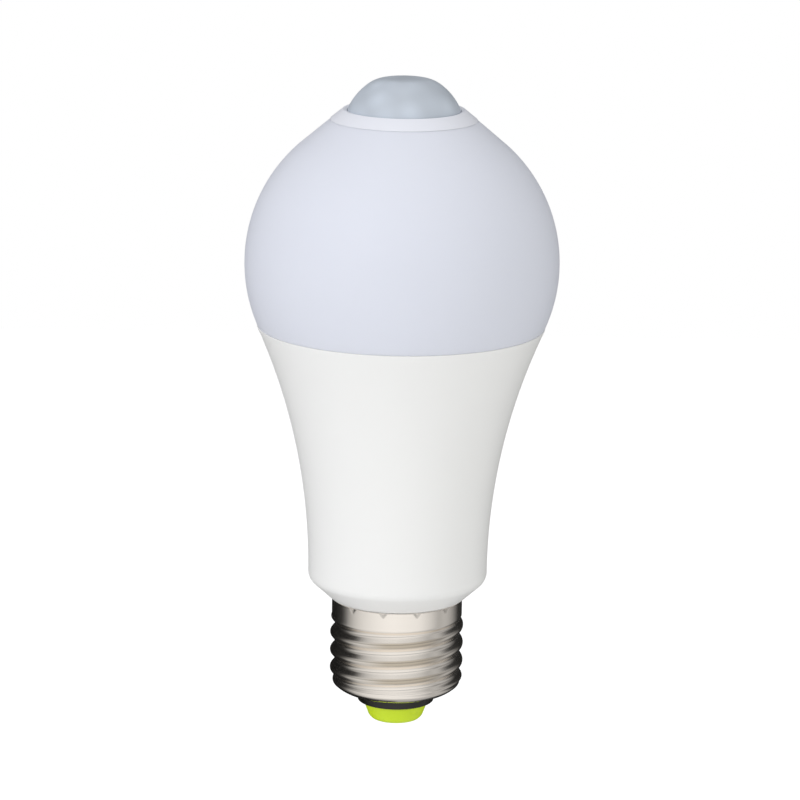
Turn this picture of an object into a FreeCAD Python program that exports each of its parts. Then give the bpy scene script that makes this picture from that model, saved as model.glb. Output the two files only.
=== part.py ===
"""Motion sensor LED bulb with a 27 mm Edison screw cap.

The bulb stands on its centre contact: the origin is the middle of the contact's face, +Z runs along
the bulb's axis towards the sensor's lens, and -Y is the front. All lengths are millimetres.
"""
import FreeCAD, Part
import math
import os
import re
import Sketcher

SIZES = [
    # Centre contact and the two insulators
    ("contact_head", 0.45, "thickness of the rivet's head"),
    ("contact_head_r", 2.6, "radius of the rivet's head"),
    ("contact_shank_r", 1.0, "radius of the rivet's shank"),
    ("tip_taper", 1.3, "how much the green cone narrows towards its lower face"),
    ("tip_bevel", 0.7, "size of the bevel round that face"),
    ("tip_height", 3.25, "height of the green cone that shows"),
    ("tip_seat", 0.7, "how far the green tip reaches into the black insulator"),
    ("tip_spigot_r", 3.2, "radius of the green tip's spigot"),
    ("rim_reveal", 0.5, "gap in height between the green rim and the black rim"),
    ("rim_ledge", 1.2, "width of the black rim round the green tip"),
    ("rim_taper", 0.35, "how much the black insulator narrows towards its lower rim"),
    ("mouth_step", 0.05, "how far the black insulator stays inside the shell's mouth edge"),
    ("insulator_height", 1.8, "height of the black insulator that shows"),
    ("insulator_flange", 0.8, "how far the insulator's inner flange reaches past the mouth"),
    ("insulator_flange_height", 1.2, "height of that flange above the shell's sheet"),
    # Screw shell
    ("cap_length", 19.5, "height of the screw shell"),
    ("cap_wall", 0.3, "thickness of the rolled sheet"),
    ("mouth_edge_r", 7.9, "radius of the shell's lower mouth, outside"),
    ("thread_pitch", 3.629, "rise of the thread in one turn"),
    ("crest_r", 13.15, "radius over the thread's crests"),
    ("thread_depth", 0.9, "crest to root"),
    ("crest_width", 0.8, "width of the flat on a crest"),
    ("flank_run", 0.95, "width of a flank along the axis"),
    ("flank_inset", 0.4, "how much a crest narrows inside, as a share of the sheet"),
    ("rib_root", 0.3, "how deep the rib is rooted in the shell's core"),
    ("thread_turns", 4, "turns of thread, from the shoulder into the skirt"),
    ("shoulder_rise", 2.0, "height of the round shoulder"),
    ("shoulder_inset", 0.55, "how far the shoulder's corner stays inside the crests"),
    ("skirt_inset", 0.3, "how far the smooth skirt stays inside the crests"),
    ("skirt_height", 3.9, "height of the smooth skirt"),
    ("skirt_ramp", 0.7, "height of the slope from the root up to the skirt"),
    ("fade_rise", 1.5, "height over the shoulder's corner in which the thread fades in"),
    ("stake_count", 12, "staking dents round the skirt's edge"),
    ("stake_width", 1.3, "width of a dent at the edge"),
    ("stake_height", 1.3, "height of a dent"),
    ("stake_depth", 0.18, "depth of a dent"),
    ("stake_angle", -12, "turn of the first dent away from the front, in degrees"),
    # Housing
    ("cap_gap", 0.2, "gap between the skirt's edge and the housing"),
    ("fit_gap", 0.1, "clearance of one piece inside another"),
    ("neck_wall", 1.25, "wall of the neck inside the screw shell"),
    ("neck_rise", 1.3, "height of the neck's end over the shoulder's corner"),
    ("ledge_width", 1.2, "width of the ledge that the driver board stands on"),
    ("ledge_height", 1.7, "height of that ledge"),
    ("foot_lap", 0.45, "how far the housing's lower edge reaches past the skirt"),
    ("barrel_r", 17.6, "radius of the housing's straight barrel"),
    ("bevel_rise", 3.9, "height of the bevel from the lower edge to the barrel"),
    ("bevel_round", 2.4, "radius between the bevel and the barrel"),
    ("inner_bevel_lift", 0.7, "how much higher the bevel ends inside"),
    ("barrel_height", 1.5, "height of the straight barrel"),
    ("flare_height", 49.1, "height of the flare, up to the seam"),
    ("housing_wall", 1.6, "wall of the housing"),
    ("rim_wall", 1.2, "wall outside the globe's socket, at its floor"),
    ("rim_round", 0.25, "chamfer on the housing's upper edge"),
    ("socket_depth", 3.0, "depth of the socket for the globe"),
    # Heat sink cup and LED board
    ("cup_setback", 4.9, "height of the cup's lower edge over the barrel"),
    ("cup_ledge", 1.0, "width of the ledge under the cup"),
    ("cup_wall", 1.0, "thickness of the cup's sheet"),
    ("plate_drop", 0.2, "how far the cup's plate lies under the socket's floor"),
    ("board_thick", 1.0, "thickness of the LED board"),
    ("board_margin", 1.0, "distance of the LED board's edge from the cup's edge"),
    ("column_hole_r", 7.5, "radius of the hole under the sensor column"),
    ("led_count", 16, "LED packages in the ring"),
    ("led_inset", 5.9, "distance of the LED packages from the board's edge"),
    ("led_length", 3.5, "length of an LED package"),
    ("led_width", 2.8, "width of an LED package"),
    ("led_height", 0.8, "height of an LED package"),
    ("screw_inset", 2.3, "distance of the screws from the board's edge"),
    ("screw_r", 1.2, "radius of a screw's shank"),
    ("screw_head_r", 2.0, "radius of a screw's head"),
    ("screw_head_height", 1.3, "height of a screw's head"),
    ("screw_count", 3, "screws through the LED board"),
    ("screw_reach", 1.2, "how far a screw reaches past the plate"),
    # Globe, collar and lens
    ("seal_height", 0.65, "height of the silicone bed under the globe"),
    ("spigot_wall", 1.3, "wall of the globe's spigot"),
    ("shoulder_web", 1.3, "thickness of the globe's shoulder on the housing's rim"),
    ("globe_r", 30.5, "radius of the globe"),
    ("seam_share", 0.9243, "radius of the seam, as a share of the globe's"),
    ("seam_step", 0.15, "how far the globe stays inside the housing's edge at the seam"),
    ("globe_wall", 1.4, "wall of the globe"),
    ("crown_share", 0.7489, "height where the globe goes over into a cone, as a share of its radius"),
    ("crown_edge", 1.1, "width of the flat edge round the mouth"),
    ("collar_wall", 0.9, "wall of the collar's sleeve in the globe's mouth"),
    ("collar_ledge", 1.2, "how far the collar laps over the globe's mouth"),
    ("collar_rim", 0.75, "width of the collar's upper rim"),
    ("collar_height", 2.05, "height of the collar"),
    ("collar_lip", 1.2, "thickness of the collar's lip over the lens flange"),
    ("collar_edge", 0.15, "height of the collar's thin lower edge"),
    ("collar_dish", 0.2, "how far the collar's rim slopes down to the lens"),
    ("collar_reach", 3.5, "how far the collar reaches into the globe"),
    ("lens_r", 10.86, "radius of the lens where it comes out of the collar"),
    ("lens_gap", 0.15, "gap between the lens and the collar's lip"),
    ("dome_share", 1.0958, "radius of the lens dome, as a share of the lens's radius"),
    ("lens_flat_r", 5.05, "radius of the flat facet on top"),
    ("lens_wall", 0.6, "wall of the lens"),
    ("lens_flange", 1.04, "width of the lens flange"),
    ("lens_flange_thick", 0.8, "thickness of the lens flange"),
    # Sensor column and what it carries
    ("column_foot_lap", 0.7, "how far the column's foot reaches past its hole"),
    ("column_foot_height", 1.2, "height of the column's foot"),
    ("column_wall", 1.0, "wall of the column's spigot and head"),
    ("column_head_height", 7.0, "height of the column's straight head"),
    ("sensor_board_drop", 3.0, "depth of the sensor board's seat in the head"),
    ("sensor_ledge", 1.0, "width of that seat"),
    ("sensor_board_thick", 1.0, "thickness of the sensor board"),
    ("pir_flange_r", 4.6, "radius of the sensor can's flange"),
    ("pir_flange_height", 0.6, "height of that flange"),
    ("pir_can_r", 4.1, "radius of the sensor can"),
    ("pir_height", 4.2, "height of the sensor can"),
    ("pir_window", 2.2, "half the side of the sensor's window"),
    ("pir_window_depth", 0.15, "depth of the window"),
    ("pir_bevel", 0.4, "soft edge round the can's top"),
    ("photocell_r", 1.5, "radius of the photocell"),
    ("photocell_height", 3.0, "height of the photocell"),
    ("photocell_offset", 7.4, "distance of the photocell from the axis"),
    ("sensor_chip_length", 9.9, "length of the sensor's chip"),
    ("sensor_chip_legs", 8, "legs on each side of the sensor's chip"),
    ("sensor_chip_offset", 4.2, "distance of the sensor's chip from the axis"),
    ("sensor_can_r", 2.0, "radius of the sensor's capacitor"),
    ("sensor_can_length", 5.0, "length of the sensor's capacitor"),
    ("sensor_can_x", 5.2, "place of the sensor's capacitor, to the right"),
    ("sensor_can_y", 4.4, "place of the sensor's capacitor, to the back"),
    ("sensor_wire_count", 3, "wires from the sensor board to the driver board"),
    ("sensor_wire_r", 0.55, "radius of a sensor wire"),
    ("sensor_wire_step", 2.5, "spacing of the sensor wires"),
    ("sensor_wire_lap", 6.0, "how far a sensor wire lies on the driver board"),
    # Driver board and its parts
    ("driver_thick", 1.2, "thickness of the driver board"),
    ("driver_edge_gap", 0.2, "gap between the driver board's edge and the neck"),
    ("driver_tail", 20.0, "height of the driver board's narrow tail"),
    ("driver_inset", 2.5, "distance of the driver board's wide part from the housing's wall"),
    ("driver_height", 57.0, "height of the driver board"),
    ("solder_gap", 0.1, "gap between a component and its board"),
    ("can_bevel", 0.3, "soft edge at the ends of a capacitor can"),
    ("can_crimp", 0.35, "depth of the crimped groove round a capacitor can"),
    ("can_crimp_rise", 1.6, "height of that groove over the can's foot"),
    ("bulk_can_gap", 1.7, "clearance of the input capacitor in the neck"),
    ("bulk_can_length", 13.0, "length of the input capacitor"),
    ("bulk_can_rise", 3.0, "height of the input capacitor over the board's foot"),
    ("output_can_r", 4.0, "radius of the output capacitor"),
    ("output_can_length", 14.0, "length of the output capacitor"),
    ("output_can_rise", 42.6, "height of the output capacitor over the board's foot"),
    ("output_can_inset", 6.0, "distance of the output capacitor from the board's edge"),
    ("choke_r", 5.0, "radius of the choke's ferrite drum"),
    ("choke_hub_r", 2.2, "radius of the drum's hub"),
    ("choke_flange", 1.2, "thickness of the drum's flanges"),
    ("choke_height", 10.0, "height of the drum"),
    ("choke_rise", 32.0, "height of the drum over the board's foot"),
    ("choke_inset", 7.5, "distance of the drum from the board's edge"),
    ("winding_inset", 0.5, "how far the winding stays inside the drum's flanges"),
    ("film_length", 9.0, "length of the film capacitor"),
    ("film_depth", 5.0, "depth of the film capacitor"),
    ("film_height", 8.0, "height of the film capacitor"),
    ("film_bevel", 0.5, "soft edge of the film capacitor"),
    ("film_rise", 22.5, "height of the film capacitor over the board's foot"),
    ("film_inset", 8.5, "distance of the film capacitor from the board's edge"),
    ("bridge_length", 6.4, "length of the rectifier"),
    ("bridge_legs", 2, "legs on each side of the rectifier"),
    ("bridge_rise", 24.0, "height of the rectifier over the board's foot"),
    ("chip_length", 4.9, "length of the driver's chip"),
    ("chip_legs", 4, "legs on each side of the driver's chip"),
    ("chip_rise", 38.0, "height of the driver's chip over the board's foot"),
    ("package_width", 3.9, "width of a chip's body"),
    ("package_height", 1.6, "height of a chip's body"),
    ("leg_width", 0.42, "width of a chip's leg"),
    ("leg_reach", 1.05, "how far a chip's leg reaches past its body"),
    ("leg_thick", 0.3, "thickness of a chip's leg"),
    ("smd_inset", 8.3, "distance of the chips from the driver board's edge"),
    ("fuse_r", 1.6, "radius of the fuse resistor"),
    ("fuse_length", 8.0, "length of the fuse resistor's body"),
    ("fuse_lead", 2.0, "length of each of its leads"),
    ("fuse_lead_r", 0.3, "radius of its leads"),
    ("fuse_rise", 2.0, "height of the fuse resistor over the board's foot"),
    ("fuse_inset", 5.7, "distance of the fuse resistor from the board's edge"),
    ("varistor_r", 3.5, "radius of the varistor"),
    ("varistor_thick", 3.2, "thickness of the varistor"),
    ("varistor_rise", 18.5, "height of the varistor's centre over the board's foot"),
    ("varistor_inset", 5.6, "distance of the varistor from the board's edge"),
    # Wires, pins and connector
    ("wire_r", 0.5, "radius of the two mains wires"),
    ("live_lap", 4.0, "how far the live wire lies on the driver board"),
    ("neutral_inset", 0.3, "gap between the neutral wire and the ledge"),
    ("neutral_lap", 4.0, "how far the neutral wire lies on the driver board"),
    ("shank_reach", 1.4, "how far the rivet reaches over the shoulder's corner"),
    ("pin_half", 0.32, "half the side of a square pin"),
    ("pin_step", 2.0, "spacing of the two pins"),
    ("connector_gap", 0.25, "gap between the connector and the column's foot"),
    ("pin_lap", 5.0, "how far a pin lies on the driver board"),
    ("pin_reach", 3.0, "how far a pin reaches over the LED board"),
    ("pin_gap", 0.1, "clearance round a pin in the connector"),
    ("socket_wide", 4.0, "width of the connector"),
    ("socket_deep", 4.5, "depth of the connector"),
    ("socket_tall", 4.5, "height of the connector"),
    ("pin_hole_r", 2.2, "radius of the hole under the connector"),
]

PLACES = {
    "insulator_top_r": "mouth_edge_r - mouth_step",
    "insulator_rim_r": "insulator_top_r - rim_taper",
    "tip_rim_r": "insulator_rim_r - rim_ledge",
    "tip_face_r": "tip_rim_r - tip_taper",
    "tip_rim_z": "contact_head + tip_height",
    "tip_top_z": "tip_rim_z + tip_seat",
    "insulator_foot_z": "tip_rim_z + rim_reveal",
    "cap_base_z": "insulator_foot_z + insulator_height",
    "cap_top_z": "cap_base_z + cap_length",
    "corner_z": "cap_base_z + shoulder_rise",
    "skirt_base_z": "cap_top_z - skirt_height",
    "root_r": "crest_r - thread_depth",
    "shoulder_r": "crest_r - shoulder_inset",
    "skirt_r": "crest_r - skirt_inset",
    "mouth_bore_r": "mouth_edge_r - cap_wall",
    "insulator_top_z": "cap_base_z + cap_wall + insulator_flange_height",
    "shoulder_run": "shoulder_r - mouth_edge_r",
    "shoulder_round": "(shoulder_run ^ 2 + shoulder_rise ^ 2) / (2 * shoulder_rise)",
    "shoulder_z": "cap_base_z + shoulder_round",
    "inner_round": "shoulder_round - cap_wall",
    "inner_corner_r": "mouth_edge_r + shoulder_run * inner_round / shoulder_round",
    "inner_corner_z": "shoulder_z - (shoulder_round - shoulder_rise) * inner_round / shoulder_round",
    "insulator_seat_z": "shoulder_z - sqrt(inner_round ^ 2 - (insulator_flange - cap_wall) ^ 2)",
    "shank_top_z": "corner_z + shank_reach",
    "neck_r": "root_r - cap_wall - fit_gap",
    "register_r": "skirt_r - cap_wall - fit_gap",
    "bore_r": "neck_r - neck_wall",
    "neck_foot_z": "corner_z + neck_rise",
    "driver_foot_z": "neck_foot_z + ledge_height",
    "foot_r": "skirt_r + foot_lap",
    "housing_foot_z": "cap_top_z + cap_gap",
    "bevel_z": "housing_foot_z + bevel_rise",
    "bevel_slant": "atan(bevel_rise / (barrel_r - foot_r))",
    "bevel_cut": "bevel_round * tan((90 deg - bevel_slant) / 2)",
    "flare_z": "bevel_z + barrel_height",
    "seam_z": "flare_z + flare_height",
    "seam_r": "globe_r * seam_share",
    "flare_r": "((seam_r - barrel_r) ^ 2 + flare_height ^ 2) / (2 * (seam_r - barrel_r))",
    "socket_floor_z": "seam_z - socket_depth",
    "socket_rise": "socket_floor_z - flare_z",
    "socket_r": "barrel_r + flare_r - sqrt(flare_r ^ 2 - socket_rise ^ 2) - rim_wall",
    "inner_barrel_r": "barrel_r - housing_wall",
    "cup_foot_z": "flare_z + cup_setback",
    "cup_top_z": "socket_floor_z - plate_drop",
    "board_top_z": "cup_top_z + board_thick",
    "plate_foot_z": "cup_top_z - cup_wall",
    "plate_rise": "cup_top_z - flare_z",
    "cup_flare_r": "flare_r + housing_wall + fit_gap",
    "board_r": "barrel_r + flare_r - sqrt(cup_flare_r ^ 2 - plate_rise ^ 2) - board_margin",
    "led_ring_r": "board_r - led_inset",
    "screw_ring_r": "board_r - screw_inset",
    "screw_hole_r": "screw_r + fit_gap / 2",
    "spigot_r": "socket_r - fit_gap",
    "spigot_foot_z": "socket_floor_z + seal_height",
    "globe_rise": "sqrt(globe_r ^ 2 - (seam_r - seam_step) ^ 2)",
    "globe_z": "seam_z + globe_rise",
    "globe_in_r": "globe_r - globe_wall",
    "flange_r": "lens_r + lens_flange",
    "mouth_r": "flange_r + 2 * fit_gap + collar_wall",
    "collar_r": "mouth_r + collar_ledge",
    "collar_rim_r": "lens_r + lens_gap + collar_rim",
    "crown_rise": "globe_r * crown_share",
    "crown_r": "sqrt(globe_r ^ 2 - crown_rise ^ 2)",
    "mouth_rise": "crown_rise + (crown_r - mouth_r - crown_edge) * crown_r / crown_rise",
    "mouth_z": "globe_z + mouth_rise",
    "collar_top_z": "mouth_z + collar_height",
    "lip_z": "collar_top_z - collar_lip",
    "dome_r": "lens_r * dome_share",
    "dome_z": "collar_top_z - sqrt(dome_r ^ 2 - lens_r ^ 2)",
    "lens_top_z": "dome_z + sqrt(dome_r ^ 2 - lens_flat_r ^ 2)",
    "column_top_z": "lip_z - lens_flange_thick",
    "column_head_r": "flange_r",
    "head_bore_r": "column_head_r - column_wall",
    "seat_bore_r": "head_bore_r - sensor_ledge",
    "column_spigot_r": "column_hole_r - fit_gap",
    "column_base_r": "column_hole_r + fit_gap",
    "column_foot_r": "column_hole_r + column_foot_lap",
    "head_foot_z": "column_top_z - column_head_height",
    "sensor_foot_z": "column_top_z - sensor_board_drop",
    "sensor_top_z": "sensor_foot_z + sensor_board_thick",
    "driver_face": "driver_thick / 2",
    "driver_top_z": "driver_foot_z + driver_height",
    "tail_half": "bore_r - driver_edge_gap",
    "driver_half": "inner_barrel_r - driver_inset",
    "bulk_can_r": "(bore_r - driver_face - solder_gap - bulk_can_gap) / 2",
    "fuse_offset": "tail_half - fuse_inset",
    "varistor_offset": "tail_half - varistor_inset",
    "output_can_offset": "driver_half - output_can_inset",
    "choke_offset": "driver_half - choke_inset",
    "film_offset": "driver_half - film_inset",
    "smd_offset": "driver_half - smd_inset",
    "pin_offset": "column_foot_r + connector_gap + socket_wide / 2",
    "pin_y": "driver_face + pin_half",
    "neutral_x": "bore_r - ledge_width - neutral_inset - wire_r",
    "neutral_z": "corner_z + wire_r",
}

doc = FreeCAD.newDocument("motion_sensor_bulb")
sheet = doc.addObject("Spreadsheet::Sheet", "dims")
for row, (alias, size, note) in enumerate(SIZES, start=1):
    sheet.set(f"A{row}", alias)
    sheet.set(f"B{row}", str(size))
    sheet.setAlias(f"B{row}", alias)
    sheet.set(f"C{row}", note)
doc.recompute()

ALIASES = {alias for alias, size, note in SIZES}
UPRIGHT = FreeCAD.Vector(0, 0, 1)
ACROSS = FreeCAD.Vector(1, 0, 0)
nodes = {}


def bound(text):
    """The expression with each derived place written out in the sheet's cells."""

    def spell(match):
        word = match.group(0)
        if word in PLACES:
            return "(" + bound(PLACES[word]) + ")"
        if word in ALIASES:
            return "dims." + word
        return word

    return re.sub(r"[a-z]\w*", spell, str(text))


def value(text):
    """What an expression comes to, as a plain number."""
    result = sheet.evalExpression(bound(text))
    return float(getattr(result, "Value", result))


def flared(inset, height):
    """Radius of the flare's curve at a height, for a wall face that lies inset from the outside."""
    return f"(barrel_r + flare_r - sqrt((flare_r + {inset}) ^ 2 - ({height} - flare_z) ^ 2))"


def on_ball(radius, rise):
    """Radius of a ball's outline at a rise over its centre."""
    return f"sqrt(({radius}) ^ 2 - ({rise}) ^ 2)"


# Sketches


def origin_plane(body, role):
    """One of a body's own planes or axes."""
    return next(item for item in body.Origin.OriginFeatures if item.Role == role)


def sketch_on(body, name, role, lift="0"):
    """An empty sketch on one of the body's own planes, or lifted off it."""
    sketch = body.newObject("Sketcher::SketchObject", name)
    sketch.AttachmentSupport = [(origin_plane(body, role), "")]
    sketch.MapMode = "FlatFace"
    sketch.setExpression("AttachmentOffset.Base.z", bound(lift))
    return sketch


def to(across, up):
    """A straight edge to a corner."""
    return across, up, None, 0


def left(across, up, radius):
    """An arc to a corner, turning left on the way."""
    return across, up, radius, 1


def right(across, up, radius):
    """An arc to a corner, turning right on the way."""
    return across, up, radius, -1


def bow(start, end, radius, turn):
    """The short arc between two points, on the side that its turn gives."""
    chord = end - start
    reach = math.sqrt(radius ** 2 - chord.Length ** 2 / 4)
    side = FreeCAD.Vector(-chord.y, chord.x, 0).normalize()
    centre = (start + end) / 2 + side * reach * turn
    first, last = (start, end) if turn > 0 else (end, start)
    angles = [math.atan2(point.y - centre.y, point.x - centre.x) for point in (first, last)]
    return Part.ArcOfCircle(Part.Circle(centre, UPRIGHT, radius), angles[0], angles[1])


def dimension(sketch, kind, *reference, text):
    """A sketch dimension that follows the sheet."""
    index = sketch.addConstraint(Sketcher.Constraint(kind, *reference, value(text)))
    sketch.setExpression(f"Constraints[{index}]", bound(text))


def corner_at(sketch, edge, end, across, up):
    """Ties one end of an edge, or a circle's centre, to its place."""
    dimension(sketch, "DistanceX", -1, 1, edge, end, text=across)
    dimension(sketch, "DistanceY", -1, 1, edge, end, text=up)


def outline(sketch, corners, closed=True):
    """Edges from corner to corner, back to the first one if the outline is closed."""
    points = [FreeCAD.Vector(value(across), value(up), 0) for across, up, radius, turn in corners]
    joint = None
    for index in range(0 if closed else 1, len(corners)):
        across, up, radius, turn = corners[index]
        if radius is None:
            edge = sketch.addGeometry(Part.LineSegment(points[index - 1], points[index]), False)
        else:
            arc = bow(points[index - 1], points[index], value(radius), turn)
            edge = sketch.addGeometry(arc, False)
            dimension(sketch, "Radius", edge, text=radius)
        begin, end = (2, 1) if turn < 0 else (1, 2)
        corner_at(sketch, edge, end, across, up)
        if joint is None:
            first = (edge, begin)
        else:
            sketch.addConstraint(Sketcher.Constraint("Coincident", *joint, edge, begin))
        joint = (edge, end)
    if closed:
        sketch.addConstraint(Sketcher.Constraint("Coincident", *joint, *first))
    else:
        corner_at(sketch, *first, corners[0][0], corners[0][1])


def ring(sketch, across, up, radius):
    """A circle in a sketch."""
    place = FreeCAD.Vector(value(across), value(up), 0)
    edge = sketch.addGeometry(Part.Circle(place, UPRIGHT, value(radius)), False)
    corner_at(sketch, edge, 3, across, up)
    dimension(sketch, "Radius", edge, text=radius)


# Features and solids


def node(name, piece):
    """Names a finished piece, which is written to a file of that name."""
    piece.Label = name
    nodes[name] = piece


def feature(body, kind, name, sketch):
    """A body's next feature, made from a sketch."""
    step = body.newObject(kind, name)
    step.Profile = sketch
    body.Tip = step
    return step


def turned(name, corners):
    """A body turned about its axis from an outline of radius and height."""
    body = doc.addObject("PartDesign::Body", name)
    sketch = sketch_on(body, name + "_profile", "XZ_Plane")
    outline(sketch, corners)
    turn = feature(body, "PartDesign::Revolution", name + "_turning", sketch)
    turn.ReferenceAxis = (sketch, ["V_Axis"])
    turn.Angle = 360
    return body


def grooved(body, name, corners):
    """Takes a turned recess out of a body."""
    sketch = sketch_on(body, name + "_profile", "XZ_Plane")
    outline(sketch, corners)
    groove = feature(body, "PartDesign::Groove", name, sketch)
    groove.ReferenceAxis = (sketch, ["V_Axis"])
    groove.Angle = 360


def repeated(body, cutout, count):
    """Repeats a body's last cut-out round its axis."""
    pattern = body.newObject("PartDesign::PolarPattern", cutout.Name + "_pattern")
    pattern.Originals = [cutout]
    pattern.Axis = (origin_plane(body, "Z_Axis"), [""])
    pattern.Angle = 360
    pattern.setExpression("Occurrences", bound(count))
    body.Tip = pattern


def drilled(body, name, top, depth, across, up, radius):
    """A round hole down from a height, to a depth."""
    sketch = sketch_on(body, name + "_sketch", "XY_Plane", top)
    ring(sketch, across, up, radius)
    hole = feature(body, "PartDesign::Pocket", name, sketch)
    hole.setExpression("Length", bound(depth))
    return hole


def placed(piece, across="0", back="0", up="0"):
    """Ties a piece's place to the sheet."""
    for axis, text in zip("xyz", (across, back, up)):
        piece.setExpression("Placement.Base." + axis, bound(text))
    return piece


def block(name, wide, deep, tall, across="0", back="0", up="0"):
    """A box centred across and back, standing at a height."""
    box = doc.addObject("Part::Box", name)
    for side, text in (("Length", wide), ("Width", deep), ("Height", tall)):
        box.setExpression(side, bound(text))
    return placed(box, f"{across} - ({wide}) / 2", f"{back} - ({deep}) / 2", up)


def rod(name, radius, length, across="0", back="0", up="0"):
    """An upright round bar."""
    bar = doc.addObject("Part::Cylinder", name)
    bar.setExpression("Radius", bound(radius))
    bar.setExpression("Height", bound(length))
    return placed(bar, across, back, up)


def fused(name, *pieces):
    """Several solids joined into one."""
    union = doc.addObject("Part::MultiFuse", name)
    union.Shapes = list(pieces)
    return union


def cut(name, base, tool):
    """One solid less another."""
    difference = doc.addObject("Part::Cut", name)
    difference.Base = base
    difference.Tool = tool
    return difference


# Screw cap


def rib(body, name, kind, inset, lift, turns):
    """The thread's rib, starting at the front, or the hollow behind it on the sheet's inner side."""
    sketch = sketch_on(body, name + "_section", "YZ_Plane")
    crest = f"-(crest_r - {inset})"
    base = f"-(root_r - {inset} - rib_root)"
    crest_half = f"(crest_width / 2 - {inset} * flank_inset)"
    base_half = f"({crest_half} + flank_run * (thread_depth + rib_root) / thread_depth)"
    outline(sketch, [
        to(base, f"{lift} - {base_half}"),
        to(base, f"{lift} + {base_half}"),
        to(crest, f"{lift} + {crest_half}"),
        to(crest, f"{lift} - {crest_half}"),
    ])
    helix = feature(body, kind, name, sketch)
    helix.ReferenceAxis = (sketch, ["V_Axis"])
    helix.Mode = "pitch-turns-angle"
    helix.setExpression("Pitch", bound("thread_pitch"))
    helix.setExpression("Turns", bound(turns))
    helix.LeftHanded = False


def staked(body):
    """Small wedge-shaped dents round the skirt's edge, where it is pressed into the housing."""
    sketch = sketch_on(body, "stake_sketch", "XZ_Plane")
    sketch.AttachmentOffset.Rotation = FreeCAD.Rotation(FreeCAD.Vector(0, 1, 0), value("stake_angle"))
    reach = "(skirt_r - stake_depth)"
    sketch.setExpression("AttachmentOffset.Base.x", bound(f"{reach} * sin(stake_angle)"))
    sketch.setExpression("AttachmentOffset.Base.z", bound(f"{reach} * cos(stake_angle)"))
    outline(sketch, [
        to("0", "cap_top_z - stake_height"),
        to("stake_width / 2", "cap_top_z + cap_wall"),
        to("-stake_width / 2", "cap_top_z + cap_wall"),
    ])
    dent = feature(body, "PartDesign::Pocket", "stake_dent", sketch)
    dent.Reversed = True
    dent.setExpression("Length", bound("crest_r"))
    repeated(body, dent, "stake_count")


def make_screw_shell():
    """The rolled shell: round shoulder, thread, smooth skirt and the dents that stake it."""
    body = turned("screw_shell", [
        to("0", "cap_base_z"),
        to("mouth_edge_r", "cap_base_z"),
        left("shoulder_r", "corner_z", "shoulder_round"),
        to("shoulder_r", "corner_z + cap_wall"),
        to("root_r", "corner_z + 3 * cap_wall"),
        to("root_r", "skirt_base_z - skirt_ramp"),
        to("skirt_r", "skirt_base_z"),
        to("skirt_r", "cap_top_z"),
        to("0", "cap_top_z"),
    ])
    rib(body, "rib", "PartDesign::AdditiveHelix", "0", "corner_z", "thread_turns")
    grooved(body, "thread_fade", [
        to("mouth_edge_r", "cap_base_z - cap_wall"),
        to("crest_r + cap_wall", "cap_base_z - cap_wall"),
        to("crest_r + cap_wall", "cap_top_z"),
        to("skirt_r", "cap_top_z"),
        to("skirt_r", "skirt_base_z"),
        to("crest_r", "skirt_base_z - 2 * skirt_ramp"),
        to("crest_r", "corner_z + fade_rise"),
        to("shoulder_r", "corner_z"),
        right("mouth_edge_r", "cap_base_z", "shoulder_round"),
    ])
    grooved(body, "shell_hollow", [
        to("0", "cap_base_z - cap_wall"),
        to("mouth_bore_r", "cap_base_z - cap_wall"),
        to("mouth_bore_r", "cap_base_z + cap_wall"),
        to("mouth_edge_r", "cap_base_z + cap_wall"),
        left("inner_corner_r", "inner_corner_z", "inner_round"),
        to("root_r - cap_wall", "corner_z + 3 * cap_wall"),
        to("root_r - cap_wall", "skirt_base_z - skirt_ramp"),
        to("skirt_r - cap_wall", "skirt_base_z"),
        to("skirt_r - cap_wall", "cap_top_z + cap_wall"),
        to("0", "cap_top_z + cap_wall"),
    ])
    channel_z = "corner_z + thread_pitch"
    rib(body, "channel", "PartDesign::SubtractiveHelix", "cap_wall", channel_z, "thread_turns - 2")
    staked(body)
    node("screw_shell", body)


def make_tip():
    """The rivet of the centre contact and the two insulators round it."""
    contact = fused(
        "centre_contact",
        rod("contact_head_disc", "contact_head_r", "contact_head"),
        rod("contact_shank", "contact_shank_r", "shank_top_z"),
    )
    node("centre_contact", contact)
    node("tip_insulator", turned("tip_insulator", [
        to("contact_shank_r", "contact_head"),
        to("tip_face_r - tip_bevel / 2", "contact_head"),
        to("tip_face_r + tip_bevel / 2", "contact_head + tip_bevel"),
        to("tip_rim_r", "tip_rim_z"),
        to("tip_rim_r", "tip_top_z"),
        to("tip_spigot_r", "tip_top_z"),
        to("tip_spigot_r", "insulator_top_z"),
        to("contact_shank_r", "insulator_top_z"),
    ]))
    node("cap_insulator", turned("cap_insulator", [
        to("tip_rim_r + fit_gap / 2", "insulator_foot_z"),
        to("insulator_rim_r - fit_gap", "insulator_foot_z"),
        to("insulator_rim_r", "insulator_foot_z + fit_gap"),
        to("insulator_top_r", "cap_base_z"),
        to("mouth_bore_r", "cap_base_z"),
        to("mouth_bore_r", "cap_base_z + cap_wall"),
        to("mouth_bore_r + insulator_flange", "insulator_seat_z"),
        to("mouth_bore_r + insulator_flange", "insulator_top_z"),
        to("tip_spigot_r + fit_gap / 2", "insulator_top_z"),
        to("tip_spigot_r + fit_gap / 2", "tip_top_z"),
        to("tip_rim_r + fit_gap / 2", "tip_top_z"),
    ]))


# Housing, heat sink and LED board


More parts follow.
